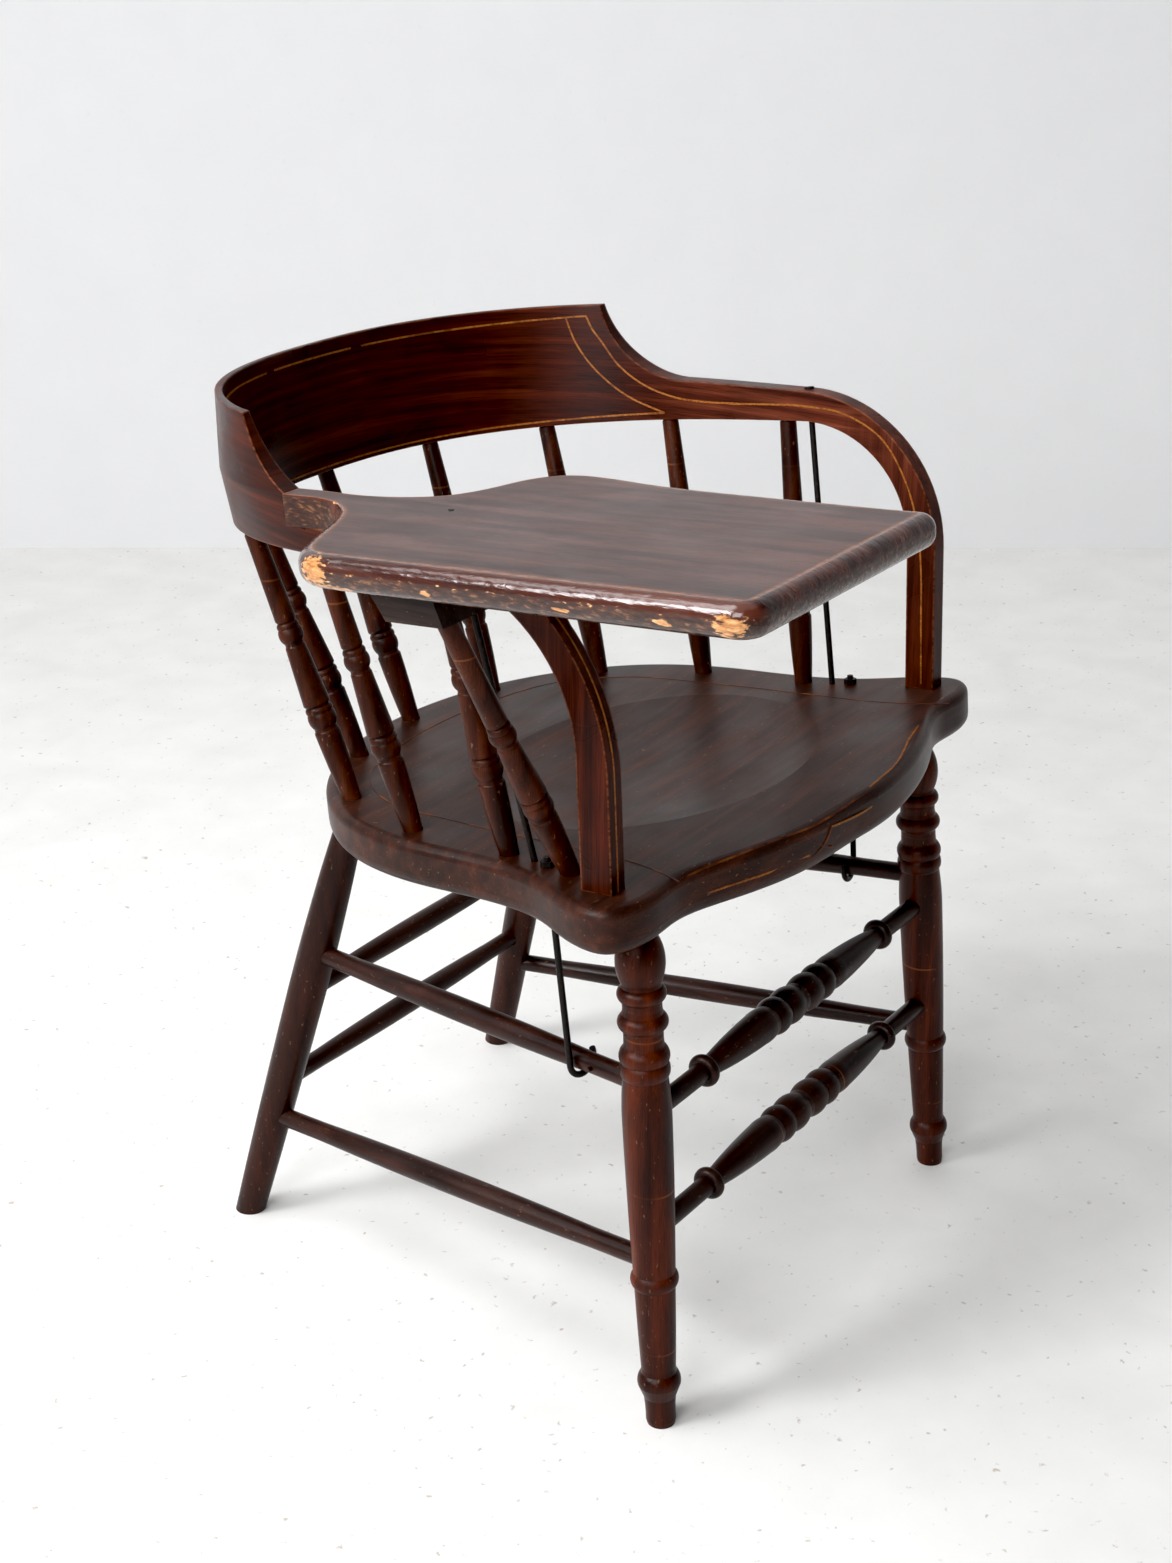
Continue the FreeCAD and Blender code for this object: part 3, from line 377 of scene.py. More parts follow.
# %% Tablet outline
# Tablet and seat fall to the back by the same share, so a plan is longer on the board by the stretch
board_fall = 0.088
stretch = math.hypot(1, board_fall)
tablet_height, tablet_thickness = 718.4, 24.2
outer_reach, front_reach, shoulder_y = 389.0, 385.0, -52.0
nose_top, nose_bottom = 10.5, 10.3
corner_round, inner_corner_round, inner_front = 19.0, 12.0, 147.0
neck_outer, neck_inner, neck_back, neck_front = 254.4, 235.6, 100.0, 80.0
# Measured points: share of the outer reach across, share back, and how much of the nose is left there
shoulder = [
    (0.684, 0.105, 0.3), (0.76, 0.044, 0.8), (0.822, 0.018, 1.0), (0.925, -0.026, 1.0), (0.976, -0.062, 1.0),
]
waist = [
    (0.607, 0.127, 0.2), (0.594, 0.02, 0.3), (0.552, -0.063, 0.4), (0.468, -0.11, 0.5), (0.388, -0.14, 0.6),
    (0.342, -0.19, 0.7), (0.332, -0.27, 0.8), (0.35, -0.404, 1.0), (0.368, -0.63, 1.0),
]


def between(u, h, a, b, slope_a, slope_b):
    """Cubic over a span h, with u the share of it that is walked: (1 + 2u)(1 - u)^2 times a, u^2 (3 - 2u)
    times b, h u (1 - u)^2 times the slope at a, and h u^2 (u - 1) times the slope at b, all added."""
    ends = (1 + 2 * u) * (1 - u) ** 2 * a + u**2 * (3 - 2 * u) * b
    return ends + h * u * (1 - u) ** 2 * slope_a + h * u**2 * (u - 1) * slope_b


def batten(points, steps):
    """Clamped cubic spline through the points by chord length. Its slopes d solve h1 d0 + 2 (h0 + h1) d1 +
    h0 d2 = 3 (h1 s0 + h0 s1) for spans h and chord slopes s, and both end slopes run along Y."""
    points = np.asarray(points, float)
    h = np.linalg.norm(np.diff(points, axis=0), axis=1)
    s = np.diff(points, axis=0) / h[:, None]
    n = len(points)
    heading = np.array([0, np.sign(points[-1, 1] - points[0, 1])])
    matrix, right = np.eye(n), np.zeros((n, 2))
    right[0] = right[-1] = heading
    i = np.arange(1, n - 1)
    matrix[i, i - 1], matrix[i, i], matrix[i, i + 1] = h[1:], 2 * (h[:-1] + h[1:]), h[:-1]
    right[1:-1] = 3 * (h[1:, None] * s[:-1] + h[:-1, None] * s[1:])
    d = np.linalg.solve(matrix, right)
    t = np.linspace(0, h.sum(), steps, endpoint=False)
    k = np.clip(np.searchsorted(np.cumsum(h), t, side="right"), 0, n - 2)
    u = ((t - np.concatenate([[0], np.cumsum(h)])[k]) / h[k])[:, None]
    return between(u, h[k][:, None], points[k], points[k + 1], d[k], d[k + 1])


def moved_in(points, inset, turn):
    """Each point goes in by its own share of the inset, square to the line between its neighbours."""
    p = np.asarray(points, float)
    run = unit(np.vstack([p[1:2], p[2:], p[-1:]])[:, :2] - np.vstack([p[:1], p[:-2], p[-2:-1]])[:, :2])
    normal = np.stack([run[:, 1], -run[:, 0]], 1) * turn
    place = p[:, :2] + normal * inset * p[:, 2:]
    return place * (1, stretch)


def straight(a, b, steps):
    """Even steps from a towards b, without b itself."""
    return np.asarray(a) + np.linspace(0, 1, steps, endpoint=False)[:, None] * (np.asarray(b) - np.asarray(a))


def quarter(centre, radius, start, steps):
    """Quarter circle from an angle in quarter turns, anticlockwise."""
    angle = (start + np.linspace(0, 1, steps, endpoint=False)) * math.pi / 2
    return np.asarray(centre) + radius * np.stack([np.cos(angle), np.sin(angle)], 1)


def tablet_ring(inset):
    """Outline in the board's own plane, anticlockwise from the neck's outer rear corner."""
    outer = [(-neck_outer, neck_front, 0)]
    outer += [(-x * outer_reach, y * outer_reach, share) for x, y, share in shoulder]
    outer += [(-outer_reach, shoulder_y, 1)]
    inner = [(-neck_inner, neck_front, 0)]
    inner += [(-x * outer_reach, y * front_reach, share) for x, y, share in waist]
    outer, inner = moved_in([(-neck_outer, neck_back, 0)] + outer, inset, -1)[1:], moved_in(inner, inset, 1)
    front = -front_reach * stretch
    big = np.array([corner_round - outer_reach, front + corner_round])
    small = np.array([-inner_front - inner_corner_round, front + inner_corner_round])
    big_round, small_round = corner_round - inset, inner_corner_round - inset
    inner_end = small + (small_round, 0)
    back = neck_back * stretch
    return np.vstack([
        straight((-neck_outer, back), outer[0], 8),
        batten(outer, 90),
        straight(outer[-1], big - (big_round, 0), 60),
        quarter(big, big_round, 2, 14),
        straight(big - (0, big_round), small - (0, small_round), 50),
        quarter(small, small_round, 3, 12),
        batten(np.vstack([inner_end, inner[::-1]]), 150),
        straight(inner[0], (-neck_inner, back), 8),
        straight((-neck_inner, back), (-neck_outer, back), 4),
    ])


def tilted(ring, depth, height=tablet_height):
    """From the board's plane, a depth under its top, to the chair: turned by the fall and lifted."""
    angle = math.atan(board_fall)
    x, y = ring[..., 0], ring[..., 1]
    z = -depth
    return np.stack([
        x, y * math.cos(angle) + z * math.sin(angle), -y * math.sin(angle) + z * math.cos(angle) + height,
    ], -1)


top_line = tablet_ring(nose_top)
print("tablet outline points:", len(top_line), "reach", np.abs(tablet_ring(0)).max(0).round(1), "mm")

# %% [markdown]
# The board's skin starts on a short line inside the top, widens to the top edge, goes round the nose and
# comes back along the underside. Each point also stores how far it is from the top edge, inwards as a
# positive number and down the nose as a negative one. The finish reads that number, so the worn line and
# the bare patches follow the edge wherever it bends.

# %% Tablet board
nose_steps = np.linspace(0, math.pi / 2, 9)
top_bands = np.array([0.8, 1.6, 2.6, 4.0, 6.0, 9.0])
inner_shares = np.linspace(0.5, 0.98, 7)
spine_back, spine_across = [-330, -120, -20, 30, 92], [-262, -262, -290, -248, -245]
neck_start, neck_half, neck_middle = 48, 16, -245
neck_mark, dull_mark, under_mark = -6.0, -19.0, -60.0
band_share, under_shares = 0.07, (0.15, 0.5, 0.98)


def spine_under(ring):
    """The place on a line down the middle of the board that is as far back as each point, or at its end."""
    y = np.clip(ring[:, 1], spine_back[0], spine_back[-1])
    return np.stack([np.interp(y, spine_back, spine_across), y], 1)


def tablet_grid():
    """Rows of points: rings that widen from the spine to the top edge, two quarter circles down the nose with
    an inset of r (1 - sin) and a depth of r (1 - cos) of the angle, and rings that shrink underneath."""
    rows, marks = [], []
    middle = spine_under(top_line)
    reach = np.linalg.norm(middle - top_line, axis=1)
    shares = [np.minimum(band / reach, band_share * (k + 1)) for k, band in enumerate(top_bands)]
    shares += [np.full(len(reach), s) for s in inner_shares]
    for share in shares[::-1]:
        ring = top_line + (middle - top_line) * share[:, None]
        gap = np.linalg.norm(ring[:, None] - top_line[None], axis=2).min(1)
        rows.append(tilted(ring, 0.0))
        marks.append(gap)
    for angle in nose_steps:
        rows.append(tilted(tablet_ring(nose_top * (1 - math.sin(angle))), nose_top * (1 - math.cos(angle))))
        marks.append(np.full(len(middle), -nose_top * angle))
    side = tablet_thickness - nose_top - nose_bottom
    for angle in nose_steps[::-1]:
        depth = tablet_thickness - nose_bottom * (1 - math.cos(angle))
        rows.append(tilted(tablet_ring(nose_bottom * (1 - math.sin(angle))), depth))
        walked = nose_top * math.pi / 2 + side + nose_bottom * (math.pi / 2 - angle)
        marks.append(np.full(len(middle), -walked))
    bottom_line = tablet_ring(nose_bottom)
    for share in under_shares:
        rows.append(tilted(bottom_line + (spine_under(bottom_line) - bottom_line) * share, tablet_thickness))
        marks.append(np.full(len(middle), under_mark))
    marks = np.stack(marks)
    # The neck's sides are as dull as the nose's lower half all the way up
    neck = (top_line[:, 1] > neck_start) & (np.abs(top_line[:, 0] - neck_middle) < neck_half)
    return np.stack(rows), np.where(neck & (marks < neck_mark), dull_mark, marks)


tablet_points, tablet_marks = tablet_grid()
print("tablet grid", tablet_points.shape)

# %% [markdown]
# The tablet's finish is the same stain, but a century of sleeves has rubbed the top to a grey-brown satin,
# worn an orange line along its edge, and broken the varnish off the nose where it is knocked: a large patch
# at the rear outer corner, another at the front outer corner, and flakes between them. Each bare patch is a
# ball of wear round a measured place, with a noise that frays its edge. Elsewhere the nose kept a thick coat,
# dented and polished by hands, so the recipe is made twice, satin for the top and glossy for the nose.

# %% Tablet finish
bare_patches = (
    ((-384, -44, 711), (15, 17, 14)),
    ((-385, -368, 737), (12, 15, 10)),
    ((-388, -66, 702), (6, 20, 4)),
    ((-389, -322, 730), (4, 8, 2.5)),
    ((-389, -245, 724), (4, 10, 2)),
    ((-389, -140, 714), (4, 6, 2)),
    ((-262, 42, 716), (7, 7, 3)),
)
flakes_start, flakes_full = -374, -379


def tablet_finish(name, coat, coat_roughness, dented):
    """Old varnish over stained hardwood: a satin top with long streaks, a worn line, a dark nose that turns
    dull below, and tan wood in the bare patches. The edge's value is in millimetres from the top edge."""
    finish, tree = new_finish(name)
    edge = add(tree, "Attribute", attribute_name="edge_mm").outputs["Fac"]
    figure = grain(tree, 12.0, 220.0, "y", 4.0)
    pores = grain(tree, 0.9, 34.0, "y", 2.0)
    cloud = grain(tree, 50.0, 70.0, "y", 2.0)
    fray = grain(tree, 2.2, 7.0, "y", 5.0)
    top = shades(tree, figure, (0.36, "#37231f"), (0.5, "#4a312c"), (0.64, "#5c3d36"))
    top = blend(tree, 1.0, top, shades(tree, pores, (0.34, 0.62), (0.52, 1.0)), "MULTIPLY")
    nose = shades(tree, figure, (0.36, "#2a120e"), (0.5, "#431f17"), (0.64, "#552a1e"))
    on_nose = add(tree, "MapRange", {0: edge, 1: -0.5, 2: -2.0})
    wood = blend(tree, on_nose, top, nose)
    # The nose's lower half has lost its varnish and is dull
    low = add(tree, "MapRange", {0: edge, 1: -13.0, 2: -19.0})
    dull = shades(tree, fray, (0.38, "#2a1611"), (0.55, "#422519"), (0.7, "#7d5538"))
    wood = blend(tree, low, wood, dull)
    # Worn line: 1 at the edge, 0 a few millimetres either side, broken by the fray
    near = add(tree, "MapRange", {0: edge, 1: 3.2, 2: 0.6})
    outside = add(tree, "MapRange", {0: edge, 1: -2.4, 2: -0.4})
    line = add(tree, "Math", {0: near, 1: outside}, operation="MULTIPLY")
    broken = add(tree, "MapRange", {0: fray, 1: 0.38, 2: 0.6, 3: 0.1, 4: 0.75})
    line = add(tree, "Math", {0: line, 1: broken}, operation="MULTIPLY")
    wood = blend(tree, line, wood, "#9c6038")
    # Bare patches: the share of wear is highest in the middle and falls with the distance in patch sizes
    place = add(tree, "TexCoord").outputs["Object"]
    bare = None
    for centre, size in bare_patches:
        shift = add(tree, "Mapping", {"Vector": place, "Location": [-float(c) for c in placed(centre)]})
        scaled = add(tree, "Mapping", {"Vector": shift, "Scale": [1000 / s for s in size]})
        far = add(tree, "VectorMath", {0: scaled}, operation="LENGTH").outputs["Value"]
        fade = add(tree, "MapRange", {0: far, 1: 0.3, 2: 1.7, 3: 0.42, 4: -0.5})
        spot = add(tree, "Math", {0: fade, 1: fray}, operation="ADD")
        bare = spot if bare is None else add(tree, "Math", {0: bare, 1: spot}, operation="MAXIMUM")
    # Small flakes along the middle of the nose, on the outer edge only
    knocked = add(tree, "MapRange", {0: edge, 1: -12.0, 2: -15.5})
    spared = add(tree, "MapRange", {0: edge, 1: -21.0, 2: -17.0})
    across = add(tree, "SeparateXYZ", {0: place})
    outer = [placed((x, 0, 0))[0] for x in (flakes_start, flakes_full)]
    outside_edge = add(tree, "MapRange", {0: across, 1: outer[0], 2: outer[1]})
    flakes = add(tree, "Math", {0: knocked, 1: spared}, operation="MULTIPLY")
    flakes = add(tree, "Math", {0: flakes, 1: outside_edge}, operation="MULTIPLY")
    flakes = add(tree, "MapRange", {0: flakes, 3: -0.5, 4: 0.0})
    flakes = add(tree, "Math", {0: flakes, 1: fray}, operation="ADD")
    bare = add(tree, "Math", {0: bare, 1: flakes}, operation="MAXIMUM")
    bare = add(tree, "MapRange", {0: bare, 1: 0.6, 2: 0.68})
    off_top = add(tree, "MapRange", {0: edge, 1: 1.5, 2: -0.5})
    bare = add(tree, "Math", {0: bare, 1: off_top}, operation="MULTIPLY")
    tan = shades(tree, fray, (0.35, "#9c6233"), (0.55, "#c98f58"), (0.72, "#e6b883"))
    wood = blend(tree, bare, wood, tan)
    gloss = add(tree, "MapRange", {0: cloud, 1: 0.35, 2: 0.65, 3: 0.38, 4: 0.48})
    polished = add(tree, "MapRange", {0: on_nose, 3: 0.0, 4: -0.2})
    gloss = add(tree, "Math", {0: gloss, 1: polished}, operation="ADD")
    rough = add(tree, "MapRange", {0: low, 3: 0.0, 4: 0.3})
    gloss = add(tree, "Math", {0: gloss, 1: rough}, operation="ADD")
    # Relief from coarse to fine: dents, frayed varnish, open pores
    under = {}
    for height, strength, deep_mm in (
        (grain(tree, 5.0, 18.0, "y", 3.0), dented, 0.9),
        (fray, 0.35, 0.25),
        (pores, 0.4, 0.1),
    ):
        bump = add(tree, "Bump", {"Height": height, **under, "Strength": strength, "Distance": deep_mm * mm})
        under = {"Normal": bump}
    shader = add(tree, "BsdfPrincipled", {
        "Base Color": wood, "Roughness": gloss, "Normal": bump, "IOR": 1.5, "Specular IOR Level": 0.15,
        "Coat Weight": coat, "Coat Roughness": coat_roughness, "Coat Normal": bump,
    })
    add(tree, "OutputMaterial", {0: shader})
    return finish


top_finish = tablet_finish("rubbed_tablet_wood", 0.42, 0.35, 0.0)
tablet_board = skin("tablet_board", placed(tablet_points), top_finish)
tablet_board.data.materials.append(tablet_finish("polished_nose_wood", 1.0, 0.13, 0.6))
# Faces come row by row, those of the nose after those of the top, and the nose ends where the neck begins
nose_end = 40
row_of_face = np.arange(len(tablet_board.data.polygons)) // tablet_points.shape[1]
top_rows = len(top_bands) + len(inner_shares)
on_nose = (row_of_face >= top_rows) & (row_of_face < top_rows + 2 * len(nose_steps))
on_nose &= np.resize(top_line[:, 1] < nose_end, len(on_nose))
print("faces with the glossy finish:", on_nose.sum())
tablet_board.data.polygons.foreach_set("material_index", on_nose.astype(np.int32))
edge_mm = tablet_board.data.attributes.new("edge_mm", "FLOAT", "POINT")
edge_mm.data.foreach_set("value", tablet_marks.astype(np.float32).ravel())
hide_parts("writing_tablet")

# %% [markdown]
# The striping is a thin line of ochre paint, drawn by hand with a long brush. Each stripe here is a narrow
# strip of paint, less than a third of a millimetre proud of the wood, carried along a path that is worked out
# on the wood's surface. A line drawn in the finish itself would need no mesh, but the bent surfaces have no
# coordinates of their own that it could follow.

# %% Striping paint
proud, sunk, stripe_width = 0.3, 0.5, 1.6


def striping_paint():
    """Oil paint in ochre over the stain: dull, flecked, and thin enough in places to show the wood."""
    finish, tree = new_finish("ochre_striping_paint")
    fade = grain(tree, 9.0, 16.0, "xy", 3.0)
    flecks = grain(tree, 1.4, 2.2, "xy", 3.0)
    paint = shades(tree, flecks, (0.35, "#743d16"), (0.55, "#9a5e26"))
    left = shades(tree, fade, (0.34, 0.35), (0.5, 1.0))
    colour = blend(tree, left, "#4a2012", paint)
    varnish(tree, colour, 0.35, 0.5, fade, flecks, 0.05)
    return finish


def faded_paint():
    """The same paint on the seat, rubbed by clothes until it is little paler than the wood."""
    finish, tree = new_finish("faded_striping_paint")
    fade = grain(tree, 12.0, 20.0, "xy", 3.0)
    colour = shades(tree, fade, (0.42, "#38190f"), (0.56, "#5c321a"), (0.72, "#824b22"))
    varnish(tree, colour, 0.36, 0.5, fade, fade, 0.05)
    return finish


fresh_paint, old_paint = striping_paint(), faded_paint()


def stripe(name, path, normal, paint, slot, width=stripe_width):
    """A strip carried along a path: at each point its four corners lie half a width to either side, a little
    over and a little under the surface. The side is the path's direction crossed with the normal."""
    ahead = np.roll(path, -1, 0) - np.roll(path, 1, 0)
    ahead[0], ahead[-1] = path[1] - path[0], path[-1] - path[-2]
    side = unit(np.cross(ahead, normal)) * width / 2
    over, under = path + normal * proud, path - normal * sunk
    grid = np.stack([over - side, over + side, under + side, under - side], 1)
    return skin(name, placed(grid), paint, smooth=False)


# %% [markdown]
# The rail was sawn straight, steamed and bent round a form, and a formula describes that form. Seen from
# above it is half a rounded square. Towards the crest the board leans outwards, and the whole tilts as it
# falls to the back. The stripes on its inner face then need only a few measured pairs of share and height.

# %% Rail surface
rail_half, rail_squareness, rail_reach, rail_forward, rail_thick = 251.0, 2.4, 279.0, 40.0, 17.0
lean_start, lean_side, lean_loss = 0.55, 0.25, 0.23
# A share of 1 is taken as 600 mm of curve, which spaces the points of a stripe evenly enough
share_mm = 600.0


def rail_point(share, height, offset):
    """Point at a share of the half turn t, a height over the lower edge and an offset from the middle. The
    curve is cos(t) and sin(t), each to the power 2 / squareness, times half width and reach. Offset and lean
    go along its normal, and the lean grows from the arms to the crest as 3 r^2 - 2 r^3."""
    slant = math.hypot(1, rail_fall)
    reach = (rail_reach + rail_forward) * slant
    c, s = np.cos(np.pi * share), np.sin(np.pi * share)
    x = np.sign(c) * np.abs(c) ** (2 / rail_squareness) * rail_half
    y = np.abs(s) ** (2 / rail_squareness) * reach
    across = np.sign(x) * np.abs(x / rail_half) ** (rail_squareness - 1) / rail_half
    along = (y / reach) ** (rail_squareness - 1) / reach
    size = np.hypot(across, along)
    rise = np.minimum(1, s / lean_start)
    ease = rise * rise * (3 - 2 * rise)
    lean = offset + ease * (lean_side - lean_loss * s**1.5) * height
    x, y = x + across / size * lean, y - rail_forward * slant + along / size * lean
    angle = math.atan(rail_fall)
    z = -y * math.sin(angle) + height * math.cos(angle) + rail_height
    return np.stack([x, y * math.cos(angle) + height * math.sin(angle), z], -1)


def resampled(marks, steps, scale=(1.0, 1.0)):
    """Smooth line through marks: each coordinate is a cubic of the distance along, fitted piece by piece. The
    scale brings both coordinates to millimetres before the distance is measured."""
    marks = np.asarray(marks, float)
    run = np.concatenate([[0], np.cumsum(np.linalg.norm(np.diff(marks * np.array(scale), axis=0), axis=1))])
    t = np.linspace(0, run[-1], steps)
    slope = np.gradient(marks, run, axis=0)
    k = np.clip(np.searchsorted(run, t, side="right") - 1, 0, len(run) - 2)
    h = (run[k + 1] - run[k])[:, None]
    u = ((t - run[k]) / h[:, 0])[:, None]
    return between(u, h, marks[k], marks[k + 1], slope[k], slope[k + 1])


def rail_stripe(name, marks, steps, mirrored=False):
    """Stripe on the rail's inner face through pairs of share and height. The way out of the face is the
    cross product of two small steps on it."""
    line = resampled(marks, steps, (share_mm, 1.0))
    share, height = line[:, 0], line[:, 1]
    if mirrored:
        share = 1 - share
    inner = -rail_thick / 2
    path = rail_point(share, height, inner)
    step_along = rail_point(share + 0.001, height, inner) - path
    step_up = rail_point(share, height + 0.5, inner) - path
    normal = unit(np.cross(step_along, step_up))
    towards = unit(rail_point(share, height, inner - 1) - path)
    normal *= np.sign((normal * towards).sum(-1, keepdims=True))
    return stripe(name, path, normal, fresh_paint, "rail_wood")


corner = (0.173, 94.0)
sweep_marks = [
    corner, (0.167, 81.5), (0.16, 72.5), (0.141, 48.0),
    (0.112, 28.5), (0.082, 18.5), (0.055, 15.2), (0.03, 14.3),
]
panel_marks = [(0.194, 94.2), (0.186, 72.5), (0.162, 42.0), (0.132, 20.5), (0.098, 6.0)]
top_marks = [corner, (0.288, 95.5), (0.391, 97.0), (0.5, 98.0), (0.609, 97.0), (0.712, 95.5), (0.827, 94.0)]
bottom_marks = [(0.098, 6.0), (0.2, 4.6), (0.35, 4.0), (0.5, 4.0), (0.65, 4.0), (0.8, 4.6), (0.902, 6.0)]
rail_stripe("stripe_crest_top", top_marks, 120)
rail_stripe("stripe_crest_bottom", bottom_marks, 140)
# The right sweep stops before the tablet's neck
rail_stripe("stripe_sweep_left", sweep_marks, 60)
rail_stripe("stripe_panel_left", panel_marks, 50)
rail_stripe("stripe_sweep_right", sweep_marks[:6], 60, mirrored=True)
rail_stripe("stripe_panel_right", panel_marks, 50, mirrored=True)
print("top of the crest's middle:", rail_point(np.array(0.5), np.array(98.0), -rail_thick / 2).round(1), "mm")

# %% [markdown]
# On the straight arm and down the bend and the post the inner face is flat, so the stripe there follows a
# batten through measured places in the side view. The stripe down the right post starts under the tablet.

# %% Arm and post stripes
left_line = [
    (14, 688.0), (-21, 692.3), (-57, 696.0), (-101, 694.5), (-136, 679.5),
    (-162, 645), (-176, 605), (-181, 572), (-184, 525), (-187.5, 466),
]
right_line = [(-130, 678.0), (-150, 655), (-168, 615), (-178, 575), (-183, 530), (-188.0, 466)]
for side_name, side_sign, line in (("left", 1, left_line), ("right", -1, right_line)):
    marks = resampled(line, 90)
    # Behind the place where the curve begins, the arm follows the rounded square: x from y by its equation
    past_bend = np.maximum(marks[:, 0] + rail_forward, 0) / (rail_reach + rail_forward)
    x = rail_half * (1 - past_bend**rail_squareness) ** (1 / rail_squareness) - rail_thick / 2
    path = np.column_stack([side_sign * x, marks])
    normal = np.tile([-side_sign, 0.0, 0.0], (len(path), 1))
    stripe("stripe_arm_" + side_name, path, normal, fresh_paint, "rail_wood")
    print("arm stripe", side_name, "reaches", marks[:, 1].max().round(1), "mm")

# %% [markdown]
# One more stripe runs up the front edge of the right post and over the bend. The edge is a straight line and
# an arc, so its path is drawn the same way: find where post and arm would meet, and round that corner.

# %% Stripe on the front of the right post
post_lean, post_bend, post_foot = 0.045, 165.0, np.array([-198.8, 462.5])
arm_rise, arm_top, arm_top_place = 0.05625, 702.4, 66.0
below_foot, arc_share = 4.0, 0.75


def right_post_front(steps):
    """A line up from the seat, then an arc that ends along the arm. The arc starts bend / tan(half the angle
    between post and arm) below the corner where the two lines meet."""
    up, on = unit(np.array([post_lean, 1.0])), unit(np.array([1.0, -arm_rise]))
    gap = post_foot - np.array([0.0, arm_top + arm_rise * arm_top_place])
    walk = -(gap[1] + arm_rise * gap[0]) / (up[1] + arm_rise * up[0])
    corner_point = post_foot + up * walk
    half_turn = math.acos(-up @ on) / 2
    start = corner_point - up * post_bend / math.tan(half_turn)
    out = np.array([-up[1], up[0]])
    run = np.linalg.norm(start - post_foot)
    s = np.linspace(-below_foot, run + post_bend * arc_share, steps)
    angle = np.maximum(s - run, 0)[:, None] / post_bend
    level = np.minimum(s, run)[:, None]
    place = post_foot + up * level + post_bend * (np.sin(angle) * up - (1 - np.cos(angle)) * out)
    return place, np.cos(angle) * out + np.sin(angle) * up


post_line, post_out = right_post_front(70)
post_path = np.column_stack([np.full(len(post_line), -rail_half), post_line])
post_normal = np.column_stack([np.zeros(len(post_line)), post_out])
stripe("stripe_post_front", post_path, post_normal, fresh_paint, "rail_wood")
print("post stripe ends at", post_line[-1].round(1), "mm")

# %% [markdown]
# The seat carries more striping: a thin line on its top that keeps clear of the spindles and posts, one
# along its front arris, and on the front face two lines that cross in a small X. The seat's plan is one
# closed spline. A place on its front is given by x and by the way walked over the rounded arris, from the
# flat top (negative) over the 8 mm rounding and down the face.

# %% Seat stripes
seat_height, seat_round = 445.0, 8.0
seat_half_width, seat_front_reach, seat_back_reach = 287.0, 268.0, 210.0
front_from, front_half_width = -215.0, 250.0
# Half of the plan as shares of the half width and of the reach, from the front's middle to the back's
plan_shares = np.array([
    (0.0, -1.0), (0.28, -0.98), (0.54, -0.9), (0.72, -0.838), (0.88, -0.84), (0.99, -0.775), (0.978, -0.645),
    (0.893, -0.47), (0.847, -0.258), (0.83, 0.06), (0.757, 0.405), (0.578, 0.715), (0.348, 0.91), (0.0, 1.0),
])


def closed_spline(points, steps):
    """Smooth closed curve through points. Its slopes solve h d[i-1] + 2 (h + g) d[i] + g d[i+1] =
    3 (h s[i-1] + g s[i]) for the chords h after and g before a point, and their slopes s."""
    after = np.roll(points, -1, 0) - points
    h = np.linalg.norm(after, axis=1)
    g, s, n = np.roll(h, 1), after / h[:, None], len(points)
    matrix, i = np.zeros((n, n)), np.arange(n)
    matrix[i, i - 1], matrix[i, i], matrix[i, (i + 1) % n] = h, 2 * (h + g), g
    d = np.linalg.solve(matrix, 3 * (h[:, None] * np.roll(s, 1, 0) + g[:, None] * s))
    run = np.concatenate([[0], np.cumsum(h)])
    t = np.linspace(0, run[-1], steps, endpoint=False)
    k = np.clip(np.searchsorted(run, t, side="right") - 1, 0, n - 1)
    u, after_k = ((t - run[k]) / h[k])[:, None], (k + 1) % n
    return between(u, h[k][:, None], points[k], points[after_k], d[k], d[after_k])


reach = np.where(plan_shares[:, 1] < 0, seat_front_reach, seat_back_reach)
half = plan_shares * np.stack([np.full(len(reach), seat_half_width), reach], 1)
seat_plan = closed_spline(np.vstack([half, half[-2:0:-1] * (-1, 1)]), 2000)
front_part = seat_plan[(seat_plan[:, 1] < front_from) & (np.abs(seat_plan[:, 0]) < front_half_width)]
front_part = front_part[np.argsort(front_part[:, 0])]


def seat_front(x, walked):
    """Point and outward normal on the seat's front for x and the way walked over its upper arris. There the
    inset is r (1 - sin) and the depth r (1 - cos) of the angle walked / r, and past it all is straight."""
    y = np.interp(x, *front_part.T)
    slope = np.interp(x, front_part[:, 0], np.gradient(front_part[:, 1], front_part[:, 0]))
    out = unit(np.stack([slope, -np.ones_like(slope)], 1))
    turn = np.clip(walked / seat_round, 0, math.pi / 2)
    inset = seat_round * (1 - np.sin(turn)) + np.maximum(-walked, 0)
    depth = seat_round * (1 - np.cos(turn)) + np.maximum(walked - seat_round * math.pi / 2, 0)
    place = np.stack([x, y], 1) - out * inset[:, None]
    normal = np.column_stack([out * np.sin(turn)[:, None], np.cos(turn)])
    return tilted(place, depth, seat_height), unit(normal)


